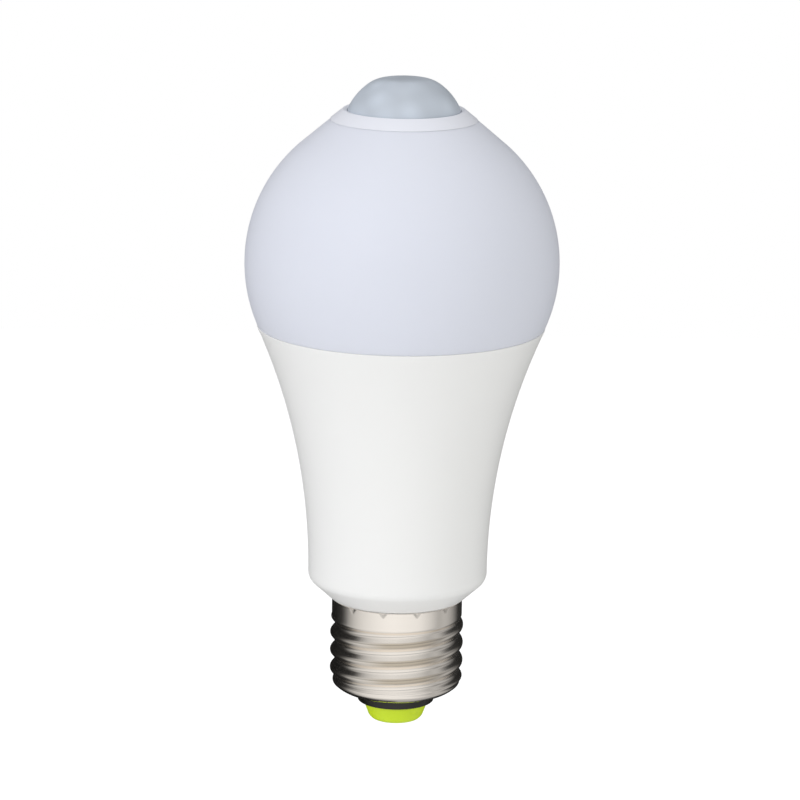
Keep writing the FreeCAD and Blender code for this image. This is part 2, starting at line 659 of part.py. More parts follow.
def make_housing():
    """The moulded body: neck, bevel, barrel, flare and the socket that takes the globe."""
    rim_foot_z = "(seam_z - rim_round)"
    ledge_r = "inner_barrel_r - cup_ledge"
    node("housing", turned("housing", [
        to("bore_r - ledge_width", "neck_foot_z"),
        to("neck_r - ledge_width / 2", "neck_foot_z"),
        to("neck_r", "neck_foot_z + ledge_width / 2"),
        to("neck_r", "skirt_base_z - skirt_ramp"),
        to("register_r", "skirt_base_z"),
        to("register_r", "housing_foot_z"),
        to("foot_r", "housing_foot_z"),
        to("barrel_r - bevel_cut * cos(bevel_slant)", "bevel_z - bevel_cut * sin(bevel_slant)"),
        left("barrel_r", "bevel_z + bevel_cut", "bevel_round"),
        to("barrel_r", "flare_z"),
        right(flared("0", rim_foot_z), rim_foot_z, "flare_r"),
        to("seam_r - rim_round", "seam_z"),
        to("socket_r", "seam_z"),
        to("socket_r", "socket_floor_z"),
        to(flared("housing_wall", "socket_floor_z"), "socket_floor_z"),
        left(flared("housing_wall", "cup_foot_z"), "cup_foot_z", "flare_r + housing_wall"),
        to(ledge_r, "cup_foot_z"),
        to(ledge_r, "cup_foot_z - cup_ledge"),
        to("inner_barrel_r", "cup_foot_z - 2 * cup_ledge"),
        to("inner_barrel_r", "bevel_z + inner_bevel_lift"),
        to("bore_r", "housing_foot_z"),
        to("bore_r", "driver_foot_z"),
        to("bore_r - ledge_width", "driver_foot_z"),
    ]))


def board_holes(body, prefix, top, depth):
    """The holes for the screws and the pins, through the LED board or the plate under it."""
    screw = drilled(body, prefix + "_screw_hole", top, depth, "0", "screw_ring_r", "screw_hole_r")
    repeated(body, screw, "screw_count")
    drilled(body, prefix + "_pin_hole", top, depth, "pin_offset", "pin_y", "pin_hole_r")


def make_heat_sink_cup():
    """The pressed cup: a plate under the LED board and a skirt that follows the housing's wall."""
    outside = "(housing_wall + fit_gap)"
    inside = "(housing_wall + fit_gap + cup_wall)"
    body = turned("heat_sink_cup", [
        left(flared(inside, "cup_foot_z"), "cup_foot_z", f"flare_r + {inside}"),
        to(flared(outside, "cup_foot_z"), "cup_foot_z"),
        right(flared(outside, "cup_top_z"), "cup_top_z", f"flare_r + {outside}"),
        to("column_hole_r", "cup_top_z"),
        to("column_hole_r", "plate_foot_z"),
        to(flared(inside, "plate_foot_z"), "plate_foot_z"),
    ])
    board_holes(body, "plate", "cup_top_z", "cup_wall")
    node("heat_sink_cup", body)


def make_led_board():
    """The aluminium-core board on the cup's plate."""
    body = turned("led_board", [
        to("column_hole_r", "cup_top_z"),
        to("board_r", "cup_top_z"),
        to("board_r", "board_top_z"),
        to("column_hole_r", "board_top_z"),
    ])
    board_holes(body, "board", "board_top_z", "board_thick")
    node("led_board", body)


def make_leds():
    """The LED packages, their long sides along the ring."""
    count = int(value("led_count"))
    for index in range(count):
        turn = 360 * index / count
        name = f"led_{index + 1:02d}"
        package = doc.addObject("Part::Box", name)
        package.setExpression("Length", bound("led_width"))
        package.setExpression("Width", bound("led_length"))
        package.setExpression("Height", bound("led_height"))
        package.Placement.Rotation = FreeCAD.Rotation(UPRIGHT, turn)
        near = "(led_ring_r - led_width / 2)"
        placed(
            package,
            f"{near} * cos({turn}) + led_length / 2 * sin({turn})",
            f"{near} * sin({turn}) - led_length / 2 * cos({turn})",
            "board_top_z",
        )
        node(name, package)


def make_board_screws():
    """The screws through the board and the plate, one node for them all."""
    count = int(value("screw_count"))
    screws = []
    for index in range(count):
        turn = 90 + 360 * index / count
        screw = turned(f"board_screw_{index + 1}", [
            to("0", "plate_foot_z - screw_reach"),
            to("screw_r", "plate_foot_z - screw_reach"),
            to("screw_r", "board_top_z"),
            to("screw_head_r", "board_top_z"),
            to("screw_head_r", "board_top_z + screw_head_height / 2"),
            to("screw_r", "board_top_z + screw_head_height"),
            to("0", "board_top_z + screw_head_height"),
        ])
        screws.append(placed(screw, f"screw_ring_r * cos({turn})", f"screw_ring_r * sin({turn})"))
    group = doc.addObject("Part::Compound", "board_screws")
    group.Links = screws
    node("board_screws", group)


def make_connector():
    """The two-pole socket on the LED board and the pins that rise into it from the driver board."""
    places = {"pin_minus": "(pin_offset - pin_step / 2)", "pin_plus": "(pin_offset + pin_step / 2)"}
    side = "2 * pin_half"
    slot = "2 * (pin_half + pin_gap)"
    foot = "(driver_top_z - pin_lap)"
    slots = []
    for name, across in places.items():
        pin = block(name, side, side, f"board_top_z + pin_reach - {foot}", across, "pin_y", foot)
        node(name, pin)
        slots.append(block(name + "_slot", slot, slot, "socket_tall", across, "pin_y", "board_top_z"))
    socket = block("socket_body", "socket_wide", "socket_deep", "socket_tall",
                   "pin_offset", "pin_y", "board_top_z")
    node("board_connector", cut("board_connector", socket, fused("socket_slots", *slots)))


# Globe, collar and lens


def make_globe():
    """The milky globe with its conical crown and spigot, and the silicone bed under the spigot."""
    spigot_in_r = "spigot_r - spigot_wall"
    inner_crown = "crown_rise * globe_in_r / globe_r"
    node("diffuser", turned("diffuser", [
        to(spigot_in_r, "spigot_foot_z"),
        to("spigot_r", "spigot_foot_z"),
        to("spigot_r", "seam_z"),
        to("seam_r - seam_step", "seam_z"),
        left("crown_r", "globe_z + crown_rise", "globe_r"),
        to("mouth_r + crown_edge", "mouth_z"),
        to("mouth_r", "mouth_z"),
        to("mouth_r", "mouth_z - crown_edge"),
        to(on_ball("globe_in_r", inner_crown), f"globe_z + {inner_crown}"),
        right(on_ball("globe_in_r", "globe_rise - shoulder_web"), "seam_z + shoulder_web", "globe_in_r"),
        to(spigot_in_r, "seam_z + shoulder_web"),
    ]))
    node("diffuser_seal", turned("diffuser_seal", [
        to(spigot_in_r, "socket_floor_z"),
        to("socket_r", "socket_floor_z"),
        to("socket_r", "spigot_foot_z"),
        to(spigot_in_r, "spigot_foot_z"),
    ]))


def make_collar():
    """The ring that clips into the globe's mouth and clamps the lens."""
    node("sensor_collar", turned("sensor_collar", [
        to("flange_r + fit_gap", "mouth_z - collar_reach"),
        to("mouth_r - fit_gap", "mouth_z - collar_reach"),
        to("mouth_r - fit_gap", "mouth_z"),
        to("collar_r", "mouth_z"),
        to("collar_r", "mouth_z + collar_edge"),
        to("collar_rim_r", "collar_top_z"),
        to("lens_r + lens_gap", "collar_top_z - collar_dish"),
        to("lens_r + lens_gap", "lip_z"),
        to("flange_r + fit_gap", "lip_z"),
    ]))


def make_lens():
    """The moulded dome lens with its flat middle facet and clamping flange."""
    inner_flat_z = "(lens_top_z - lens_wall)"
    inner_dome_r = "(dome_r - lens_wall)"
    bore_r = "(lens_r - lens_wall)"
    node("sensor_lens", turned("sensor_lens", [
        to(bore_r, "column_top_z"),
        to("flange_r", "column_top_z"),
        to("flange_r", "lip_z"),
        to("lens_r", "lip_z"),
        to("lens_r", "collar_top_z"),
        left("lens_flat_r", "lens_top_z", "dome_r"),
        to("0", "lens_top_z"),
        to("0", inner_flat_z),
        to(on_ball(inner_dome_r, f"{inner_flat_z} - dome_z"), inner_flat_z),
        right(bore_r, f"dome_z + {on_ball(inner_dome_r, bore_r)}", inner_dome_r),
    ]))


# Sensor


def make_column():
    """The tapered column from the LED board up to the collar."""
    bore_r = "column_spigot_r - column_wall"
    foot_top_z = "board_top_z + column_foot_height"
    node("sensor_column", turned("sensor_column", [
        to(bore_r, "plate_foot_z"),
        to("column_spigot_r", "plate_foot_z"),
        to("column_spigot_r", "board_top_z"),
        to("column_foot_r", "board_top_z"),
        to("column_foot_r", foot_top_z),
        to("column_base_r", foot_top_z),
        to("column_head_r", "head_foot_z"),
        to("column_head_r", "column_top_z"),
        to("head_bore_r", "column_top_z"),
        to("head_bore_r", "sensor_foot_z"),
        to("seat_bore_r", "sensor_foot_z"),
        to("seat_bore_r", "head_foot_z"),
        to(bore_r, foot_top_z),
    ]))


def capacitor_can(name, radius, length, across, back, up):
    """A sealed can with a crimped groove near its foot."""
    body = turned(name, [
        to("0", "0"),
        to(f"{radius} - can_bevel", "0"),
        to(radius, "can_bevel"),
        to(radius, "can_crimp_rise - can_crimp"),
        to(f"{radius} - can_crimp", "can_crimp_rise"),
        to(radius, "can_crimp_rise + can_crimp"),
        to(radius, f"{length} - can_bevel"),
        to(f"{radius} - can_bevel", length),
        to("0", length),
    ])
    node(name, placed(body, across, back, up))


def chip(name, length, legs, across, back, up, tilt):
    """A moulded chip with a row of legs down each side, laid on its board by a tilt."""
    rows = []
    span = "package_width + 2 * leg_reach"
    for index in range(int(value(legs))):
        along = f"{length} * ({2 * index + 1} / {legs} - 1) / 2"
        rows.append(block(f"{name}_leg_{index + 1}", "leg_width", span, "leg_thick", along))
    whole = fused(name, block(name + "_package", length, "package_width", "package_height"), *rows)
    whole.Placement.Rotation = FreeCAD.Rotation(ACROSS, tilt)
    node(name, placed(whole, across, back, up))


def make_sensor():
    """The sensor board with the motion sensor, photocell, chip and capacitor."""
    board = rod("sensor_board", "head_bore_r - fit_gap", "sensor_board_thick", up="sensor_foot_z")
    node("sensor_board", board)
    can_top_z = "sensor_top_z + pir_height"
    can = turned("pir_can", [
        to("0", "sensor_top_z"),
        to("pir_flange_r", "sensor_top_z"),
        to("pir_flange_r", "sensor_top_z + pir_flange_height"),
        to("pir_can_r", "sensor_top_z + pir_flange_height"),
        to("pir_can_r", f"{can_top_z} - pir_bevel"),
        to("pir_can_r - pir_bevel", can_top_z),
        to("0", can_top_z),
    ])
    window = block("pir_window_cut", "2 * pir_window", "2 * pir_window", "pir_height",
                   up=f"{can_top_z} - pir_window_depth")
    node("pir_sensor", cut("pir_sensor", can, window))
    eye = rod("photocell", "photocell_r", "photocell_height", "0", "-photocell_offset", "sensor_top_z")
    node("photocell", eye)
    chip("sensor_chip", "sensor_chip_length", "sensor_chip_legs",
         "0", "-sensor_chip_offset", "sensor_foot_z", 180)
    capacitor_can("sensor_capacitor", "sensor_can_r", "sensor_can_length",
                  "sensor_can_x", "sensor_can_y", "sensor_foot_z - sensor_can_length")


def make_sensor_wires():
    """The wires from the sensor board down on to the driver board."""
    foot = "(driver_top_z - sensor_wire_lap)"
    for index in range(int(value("sensor_wire_count"))):
        name = f"sensor_wire_{index + 1}"
        across = f"({index} - (sensor_wire_count - 1) / 2) * sensor_wire_step"
        wire = rod(name, "sensor_wire_r", f"sensor_foot_z - {foot}",
                   across, "driver_face + sensor_wire_r", foot)
        node(name, wire)


# Driver


def make_driver_board():
    """The upright driver board: a narrow tail in the neck and a wide part in the cup."""
    body = doc.addObject("PartDesign::Body", "driver_board")
    sketch = sketch_on(body, "driver_outline", "XZ_Plane", "-driver_face")
    tail_top_z = "driver_foot_z + driver_tail"
    outline(sketch, [
        to("-tail_half", "driver_foot_z"),
        to("tail_half", "driver_foot_z"),
        to("tail_half", tail_top_z),
        to("driver_half", f"{tail_top_z} + driver_half - tail_half"),
        to("driver_half", "driver_top_z"),
        to("-driver_half", "driver_top_z"),
        to("-driver_half", f"{tail_top_z} + driver_half - tail_half"),
        to("-tail_half", tail_top_z),
    ])
    pad = feature(body, "PartDesign::Pad", "driver_sheet", sketch)
    pad.setExpression("Length", bound("driver_thick"))
    node("driver_board", body)


def on_front(depth):
    """Place of a part's middle when it lies on the driver board's front face."""
    return f"-(driver_face + solder_gap + {depth})"


def on_back(depth):
    """Place of a part's middle when it lies on the driver board's back face."""
    return f"driver_face + solder_gap + {depth}"


def make_cans():
    """The two electrolytic capacitors on the driver board."""
    capacitor_can("bulk_capacitor", "bulk_can_r", "bulk_can_length",
                  "0", on_front("bulk_can_r"), "driver_foot_z + bulk_can_rise")
    capacitor_can("output_capacitor", "output_can_r", "output_can_length",
                  "-output_can_offset", on_front("output_can_r"), "driver_foot_z + output_can_rise")


def make_choke():
    """The ferrite drum and its copper winding."""
    across = "choke_offset"
    back = on_front("choke_r")
    up = "driver_foot_z + choke_rise"
    core = turned("choke_core", [
        to("0", "0"),
        to("choke_r", "0"),
        to("choke_r", "choke_flange"),
        to("choke_hub_r", "choke_flange"),
        to("choke_hub_r", "choke_height - choke_flange"),
        to("choke_r", "choke_height - choke_flange"),
        to("choke_r", "choke_height"),
        to("0", "choke_height"),
    ])
    node("choke_core", placed(core, across, back, up))
    winding = turned("choke_winding", [
        to("choke_hub_r", "choke_flange"),
        to("choke_r - winding_inset", "choke_flange"),
        to("choke_r - winding_inset", "choke_height - choke_flange"),
        to("choke_hub_r", "choke_height - choke_flange"),
    ])
    node("choke_winding", placed(winding, across, back, up))


def make_film_capacitor():
    """The dipped film capacitor."""
    body = doc.addObject("PartDesign::Body", "film_capacitor")
    sketch = sketch_on(body, "film_outline", "XY_Plane")
    outline(sketch, [
        to("-film_length / 2", "-film_depth / 2"),
        to("film_length / 2", "-film_depth / 2"),
        to("film_length / 2", "film_depth / 2"),
        to("-film_length / 2", "film_depth / 2"),
    ])
    pad = feature(body, "PartDesign::Pad", "film_block", sketch)
    pad.setExpression("Length", bound("film_height"))
    bevel = body.newObject("PartDesign::Chamfer", "film_edges")
    bevel.Base = (pad, [])
    bevel.UseAllEdges = True
    bevel.setExpression("Size", bound("film_bevel"))
    body.Tip = bevel
    node("film_capacitor", placed(body, "film_offset", on_front("film_depth / 2"),
                                  "driver_foot_z + film_rise"))


def make_fuse_resistor():
    """The fuse resistor in the neck, with its leads."""
    end = "(fuse_lead + fuse_length)"
    body = turned("fuse_resistor", [
        to("0", "0"),
        to("fuse_lead_r", "0"),
        to("fuse_lead_r", "fuse_lead"),
        to("fuse_r - can_bevel", "fuse_lead"),
        to("fuse_r", "fuse_lead + can_bevel"),
        to("fuse_r", f"{end} - can_bevel"),
        to("fuse_r - can_bevel", end),
        to("fuse_lead_r", end),
        to("fuse_lead_r", f"{end} + fuse_lead"),
        to("0", f"{end} + fuse_lead"),
    ])
    node("fuse_resistor", placed(body, "fuse_offset", on_back("fuse_r"), "driver_foot_z + fuse_rise"))


def make_varistor():
    """The varistor disc, flat against the driver board."""
    disc = rod("varistor", "varistor_r", "varistor_thick",
               "varistor_offset", on_back("0"), "driver_foot_z + varistor_rise")
    disc.Placement.Rotation = FreeCAD.Rotation(ACROSS, -90)
    node("varistor", disc)


def make_driver_chips():
    """The bridge rectifier and the driver's chip on the board's back face."""
    chip("bridge_rectifier", "bridge_length", "bridge_legs",
         "-smd_offset", "driver_face", "driver_foot_z + bridge_rise", -90)
    chip("driver_chip", "chip_length", "chip_legs",
         "smd_offset", "driver_face", "driver_foot_z + chip_rise", -90)


def make_mains_wires():
    """The straight wire to the rivet and the bent wire to the screw shell."""
    live = rod("live_wire", "wire_r", "driver_foot_z + live_lap - shank_top_z",
               "0", "driver_face + wire_r", "shank_top_z")
    node("live_wire", live)
    body = doc.addObject("PartDesign::Body", "neutral_wire")
    top_z = "driver_foot_z + neutral_lap"
    path = sketch_on(body, "neutral_path", "XZ_Plane")
    outline(path, [
        to("neutral_x", top_z),
        to("neutral_x", "neutral_z"),
        to("neck_r - fit_gap", "neutral_z"),
    ], closed=False)
    section = sketch_on(body, "neutral_section", "XY_Plane", top_z)
    ring(section, "neutral_x", "0", "wire_r")
    pipe = feature(body, "PartDesign::AdditivePipe", "neutral_run", section)
    pipe.Spine = (path, [])
    pipe.Transition = "Right corner"
    node("neutral_wire", placed(body, back="driver_face + wire_r"))


def write_nodes():
    """Checks every object and every finished piece, then writes one file for each piece."""
    doc.recompute()
    for item in doc.Objects:
        if {"Invalid", "Error"} & set(item.State):
            raise RuntimeError(f"{item.Name} did not rebuild: {item.State}")
    for name, piece in nodes.items():
        if piece.Shape.isNull() or not piece.Shape.isValid() or not piece.Shape.Solids:
            raise RuntimeError(f"{name} has no valid solid")
    os.makedirs("parts", exist_ok=True)
    for name, piece in nodes.items():
        piece.Shape.exportStep(f"parts/{name}.step")
        print(f"{name}: {len(piece.Shape.Solids)} solid, {piece.Shape.Volume:.1f} cubic mm")


make_screw_shell()
make_tip()
make_housing()
make_heat_sink_cup()
make_led_board()
make_leds()
make_board_screws()
make_connector()
make_globe()
make_collar()
make_lens()
make_column()
make_sensor()
make_sensor_wires()
make_driver_board()
make_cans()
make_choke()
make_film_capacitor()
make_fuse_resistor()
make_varistor()
make_driver_chips()
make_mains_wires()
write_nodes()
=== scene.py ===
"""Looks of a motion sensor LED bulb with a 27 mm screw cap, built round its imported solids.

Everything is in metres, in the solids' own frame: the origin is the middle of the centre contact's
face, +Z runs up the bulb's axis to the lens, and -Y is the front. Turns round the axis are counted
from the front towards the right.
"""

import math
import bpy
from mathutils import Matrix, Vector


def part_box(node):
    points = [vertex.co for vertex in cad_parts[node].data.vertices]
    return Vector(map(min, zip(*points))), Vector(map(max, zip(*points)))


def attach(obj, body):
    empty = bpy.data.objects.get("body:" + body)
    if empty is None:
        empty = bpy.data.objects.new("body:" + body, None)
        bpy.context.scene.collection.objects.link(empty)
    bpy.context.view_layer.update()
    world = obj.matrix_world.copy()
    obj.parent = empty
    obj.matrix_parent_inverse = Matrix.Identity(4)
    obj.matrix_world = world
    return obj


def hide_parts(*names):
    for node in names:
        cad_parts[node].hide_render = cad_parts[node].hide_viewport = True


bl_info = {
    "name": "Motion sensor bulb",
    "version": (1, 0, 0),
    "blender": (4, 5, 0),
    "location": "3D View > Sidebar > Bulb",
    "description": "Builds the look of a screw-cap LED bulb with a motion sensor",
    "category": "Object",
}

import bmesh
import bpy
from bpy.props import FloatProperty, FloatVectorProperty, IntProperty, PointerProperty
from mathutils import Matrix, Vector

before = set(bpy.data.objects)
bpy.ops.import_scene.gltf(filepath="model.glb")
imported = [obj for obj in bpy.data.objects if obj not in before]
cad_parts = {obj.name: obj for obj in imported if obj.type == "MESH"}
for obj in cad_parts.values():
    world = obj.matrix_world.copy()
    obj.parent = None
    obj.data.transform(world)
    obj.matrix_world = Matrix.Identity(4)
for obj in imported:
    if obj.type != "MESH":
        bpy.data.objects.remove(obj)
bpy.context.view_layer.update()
MM = 0.001
# The smallest lengths: a pole before it is closed, ends that count as level, doubles, and a skin
POLE, LEVEL, WELD, SKIN = 0.0001 * MM, 0.001 * MM, 0.002 * MM, 0.01 * MM


def reach(node):
    """Largest radius of a solid that is round about the axis."""
    low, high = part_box(node)
    return min(-low.x, high.x, -low.y, high.y)


def foot(node):
    """Height of a solid's lowest point."""
    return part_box(node)[0].z


def top(node):
    """Height of a solid's highest point."""
    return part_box(node)[1].z


def linear(code):
    """Linear colour of an sRGB hex value."""
    shares = [int(code[place:place + 2], 16) / 255 for place in (0, 2, 4)]
    return [s / 12.92 if s <= 0.04045 else ((s + 0.055) / 1.055) ** 2.4 for s in shares]


def size(name, description, millimetres):
    """A length that a user can change."""
    return FloatProperty(name=name, description=description, default=millimetres * MM,
                         unit="LENGTH", precision=5)


def angle(name, description, degrees):
    """An angle that a user can change."""
    return FloatProperty(name=name, description=description, default=math.radians(degrees),
                         subtype="ANGLE")


def paint(name, description, code):
    """A colour that a user can change."""
    return FloatVectorProperty(name=name, description=description, default=linear(code),
                               subtype="COLOR", size=3, min=0, max=1)


# Sizes and colours


class BulbCapSizes(bpy.types.PropertyGroup):
    """Sizes of the screw shell and of the insulators under it."""

    sheet: size("Sheet", "Thickness of the rolled sheet", 0.3)
    mouth_radius: size("Mouth", "Radius of the shell's lower mouth", 7.9)
    shoulder_radius: size("Shoulder", "Radius of the shoulder's corner", 12.6)
    shoulder_rise: size("Shoulder height", "Height of the round shoulder", 2.0)
    corner_round: size("Shoulder rounding", "Radius of the shoulder's corner in section", 0.7)
    pitch: size("Pitch", "Rise of the thread in one turn", 3.629)
    depth: size("Depth", "Crest to root", 0.9)
    arc_radius: size("Thread form", "Radius of the crest and root arcs", 1.025)
    flank: angle("Flank", "Slope of the flanks between those arcs", 40)
    crest_height: size("Crest", "Height of the highest whole crest at the front", 18.93)
    fade_in: size("Lower run-out", "Height in which the thread grows out of the shoulder", 1.2)
    fade_start: size("Upper run-out", "Height where the thread starts to fade", 20.75)
    fade_end: size("Skirt", "Height where the smooth skirt starts", 21.95)
    skirt_radius: size("Skirt radius", "Radius of the smooth skirt", 12.85)
    edge_drop: size("Edge", "How far the skirt's edge stays under its solid's", 0.12)
    dent_width: size("Dent width", "Width of a staking dent", 1.9)
    dent_height: size("Dent height", "Height of a staking dent", 1.2)
    dent_depth: size("Dent depth", "Depth of a staking dent", 0.16)
    dent_slope: FloatProperty(name="Dent slope", description="How fast a dent reaches its depth",
                              default=1.4, min=1)
    dent_count: IntProperty(name="Dents", description="Staking dents round the skirt", default=12,
                            min=3)
    dent_turn: angle("First dent", "Turn of the first dent from the front", -12)
    black_rim: size("Black rim", "Radius of the black insulator's lower rim", 7.5)
    black_top: size("Black top", "Radius of the black insulator at the shell", 7.85)
    flange_lap: size("Flange", "How far the black insulator laps over the shell inside", 0.8)
    green_rim: size("Green rim", "Radius of the green tip's upper rim", 6.3)
    green_face: size("Green face", "Radius of the green tip at its lower face", 5.0)
    green_bevel: size("Green bevel", "Size of the bevel round that face", 0.7)
    green_height: size("Green height", "Height of the green cone", 3.25)
    green_seat: size("Green seat", "How far the green tip reaches into the black insulator", 0.7)
    spigot_radius: size("Spigot", "Radius of the green tip's spigot", 3.2)
    fit: size("Fit", "Clearance of one insulator in the other", 0.05)
    black_round: size("Black edges", "Rounding of the black insulator's edges", 0.12)
    green_round: size("Green edges", "Rounding of the green tip's edges", 0.25)
    shank_radius: size("Rivet", "Radius of the rivet's shank", 1.0)
    rivet_head: size("Rivet head", "Thickness of the rivet's head", 0.45)
    rivet_round: size("Rivet edges", "Height of the curve round the rivet's face", 0.1)


class BulbBodySizes(bpy.types.PropertyGroup):
    """Sizes of the housing, globe and collar."""

    wall: size("Wall", "Wall of the housing", 1.6)
    gap: size("Gap", "Gap between the skirt and the housing", 0.2)
    foot_radius: size("Foot", "Radius of the housing's lower edge", 13.3)
    barrel_radius: size("Barrel", "Radius of the housing's straight barrel", 17.6)
    bevel_rise: size("Bevel", "Height of the bevel from the foot to the barrel", 3.9)
    bevel_round: size("Bevel rounding", "Radius between the bevel and the barrel", 2.4)
    barrel_rise: size("Barrel height", "Height of the straight barrel", 1.5)
    neck_radius: size("Neck", "Radius of the neck inside the screw shell", 11.85)
    neck_wall: size("Neck wall", "Wall of the neck", 1.25)
    register_radius: size("Register", "Radius of the neck inside the skirt", 12.45)
    register_height: size("Register height", "Height of that part of the neck", 4.1)
    register_ramp: size("Register ramp", "Height of the slope below it", 0.7)
    ledge: size("Ledge", "Width of the ledges inside the housing", 1.2)
    cup_step: size("Cup seat", "Width of the seat for the heat sink cup", 1.0)
    inner_rise: size("Inner bevel", "How much higher the bevel ends inside", 0.7)
    edge_round: size("Edges", "Rounding of the moulded edges", 0.22)
    socket_depth: size("Socket", "Depth of the socket for the globe", 3.0)
    socket_radius: size("Socket radius", "Radius of the socket for the globe", 25.63)
    seam_step: size("Seam step", "How far the globe stays inside the housing at the seam", 0.15)
    globe_wall: size("Globe wall", "Wall of the globe", 1.4)
    spigot_wall: size("Spigot wall", "Wall of the globe's spigot and of the web over it", 1.3)
    globe_round: size("Globe edges", "Rounding of the globe's edges", 0.12)
    fit: size("Fit", "Clearance of a spigot or a sleeve", 0.1)
    crown_rise: size("Crown", "Height of the cone's start over the globe's centre", 22.84)
    mouth_radius: size("Mouth", "Radius of the globe's mouth", 13.0)
    mouth_edge: size("Mouth edge", "Width and height of the edge round the mouth", 1.1)
    collar_edge: size("Collar edge", "Height of the collar's thin lower edge", 0.07)
    collar_rim: size("Collar rim", "Radius of the collar's upper rim", 11.76)
    collar_dish: size("Collar dish", "How far the rim slopes down to the lens", 0.2)
    collar_lip: size("Collar lip", "Thickness of the collar's lip", 1.2)
    collar_round: size("Collar edges", "Rounding of the collar's edges", 0.06)
    sleeve_wall: size("Sleeve", "Wall of the collar's sleeve in the mouth", 0.9)
    lens_gap: size("Lens gap", "Gap between the collar's lip and the lens", 0.15)
    columns: IntProperty(name="Columns", description="Faces round each piece", default=256, min=64)


class BulbLensSizes(bpy.types.PropertyGroup):
    """Sizes of the lens over the sensor."""

    radius: size("Radius", "Radius where the lens comes out of the collar", 10.86)
    dome_radius: size("Dome", "Radius of the dome", 11.9)
    flat_radius: size("Flat", "Radius of the flat facet on top", 5.05)
    flat_round: size("Flat's edge", "Radius between the dome and that facet", 6)
    wall: size("Wall", "Thickness of the lens", 0.6)
    flange: size("Flange", "Thickness of the lens's flange", 0.8)


class BulbColours(bpy.types.PropertyGroup):
    """Colours of the finishes that show."""

    nickel: paint("Nickel", "Nickel plate of the screw shell", "F6EFE6")
    # A painted dark reflection on the thread's crests: browner nickel, strongest by the front
    crest_reflection_colour: paint("Crest reflection nickel", "Painted dark reflection on the thread's crests", "C6BBAA")
    black: paint("Black insulator", "Moulded black insulator", "16150D")
    lime: paint("Lime tip", "Moulded green insulator", "D1EB1C")
    housing: paint("Housing", "White housing", "F8F8F6")
    globe: paint("Globe", "Milky globe", "E3E6F0")
    collar: paint("Collar", "White collar", "EAECF4")
    lens: paint("Lens", "Grey lens", "C7CFD9")
    floor: paint("Floor", "Floor under the bulb", "F4F4F4")


class BulbStageSizes(bpy.types.PropertyGroup):
    """The camera, the floor and the surround."""

    aim: size("Aim", "Height on the axis that the camera looks at", 65.14)
    distance: size("Distance", "From the camera to that point", 760.6)
    pitch: angle("Pitch", "How far the camera looks down", 13.37)
    roll: angle("Roll", "Turn of the camera about its line of sight", 0.85)
    focal: FloatProperty(name="Focal length", description="Focal length of the camera", default=175.36,
                         unit="CAMERA")
    floor_drop: size("Floor", "How far the floor lies under the bulb", 120)
    floor_width: size("Floor width", "Width of the floor", 1800)
    floor_glow: FloatProperty(name="Floor glow", description="What only the camera sees", default=0.42,
                              subtype="FACTOR", min=0, max=1)
    world_level: FloatProperty(name="Surround", description="Level of its diffuse light",
                               default=0.615, subtype="FACTOR", min=0, max=1)


# Shaping


def clear_selection():
    """Nothing is selected or open for editing."""
    if bpy.context.object and bpy.context.object.mode != "OBJECT":
        bpy.ops.object.mode_set(mode="OBJECT")
    bpy.ops.object.select_all(action="DESELECT")


def pick(piece):
    """Only this piece is selected."""
    clear_selection()
    piece.select_set(True)
    bpy.context.view_layer.objects.active = piece


def arc(middle_r, middle_z, radius, start, end, *, steps):
    """Rings along an arc, from one angle to another, counted in degrees from straight outwards."""
    rings = []
    for step in range(steps + 1):
        turn = math.radians(start + (end - start) * step / steps)
        rings.append((middle_r + radius * math.cos(turn), middle_z + radius * math.sin(turn)))
    return rings


def draw_up(rings, columns):
    """A closed round piece: a circle is extruded, lifted and resized from ring to ring."""
    clear_selection()
    radius, height = rings[0]
    radius = max(radius, POLE)
    bpy.ops.mesh.primitive_circle_add(vertices=columns, radius=radius, location=(0, 0, height),
                                      enter_editmode=True)
    for next_radius, next_height in rings[1:]:
        next_radius = max(next_radius, POLE)
        lift = (0, 0, next_height - height)
        bpy.ops.mesh.extrude_region_move(TRANSFORM_OT_translate={"value": lift})
        share = next_radius / radius
        bpy.ops.transform.resize(value=(share, share, 1), center_override=(0, 0, 0))
        radius, height = next_radius, next_height
    bpy.ops.mesh.select_all(action="SELECT")
    bpy.ops.mesh.remove_doubles(threshold=WELD)
    bpy.ops.mesh.normals_make_consistent(inside=False)
    bpy.ops.object.mode_set(mode="OBJECT")
    bpy.ops.object.transform_apply(location=True, rotation=True, scale=True)
    return bpy.context.object


def add_rows(piece, low, high, least_radius, rows):
    """Divides the outer wall between two rings into more rows of faces."""
    pick(piece)
    bpy.ops.object.mode_set(mode="EDIT")
    bpy.ops.mesh.select_mode(type="EDGE")
    bpy.ops.mesh.select_all(action="DESELECT")
    mesh = bmesh.from_edit_mesh(piece.data)
    for edge in mesh.edges:
        ends = sorted(edge.verts, key=lambda vertex: vertex.co.z)
        spans = abs(ends[0].co.z - low) < LEVEL and abs(ends[1].co.z - high) < LEVEL
        outside = min(vertex.co.xy.length for vertex in ends) > least_radius
        edge.select_set(spans and outside)
    bmesh.update_edit_mesh(piece.data)
    bpy.ops.mesh.subdivide(number_cuts=rows)
    bpy.ops.object.mode_set(mode="OBJECT")


def round_edges(piece, width, sharp=30):
    """Rounds every edge that is sharper than an angle."""
    pick(piece)
    bevel = piece.modifiers.new("rounding", "BEVEL")
    bevel.width = width
    bevel.segments = 3
    bevel.limit_method = "ANGLE"
    bevel.angle_limit = math.radians(sharp)
    bpy.ops.object.modifier_apply(modifier=bevel.name)


def smooth(piece, degrees=40):
    """Smooth shading up to an angle."""
    pick(piece)
    bpy.ops.object.shade_smooth_by_angle(angle=math.radians(degrees))


def finish_piece(piece, name, material, node):
    """Names a piece, gives it its finish and lets it stand for its solid."""
    piece.name = name
    piece.data.name = name
    piece.data.materials.clear()
    piece.data.materials.append(material)
    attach(piece, "root")
    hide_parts(node)


# Finishes


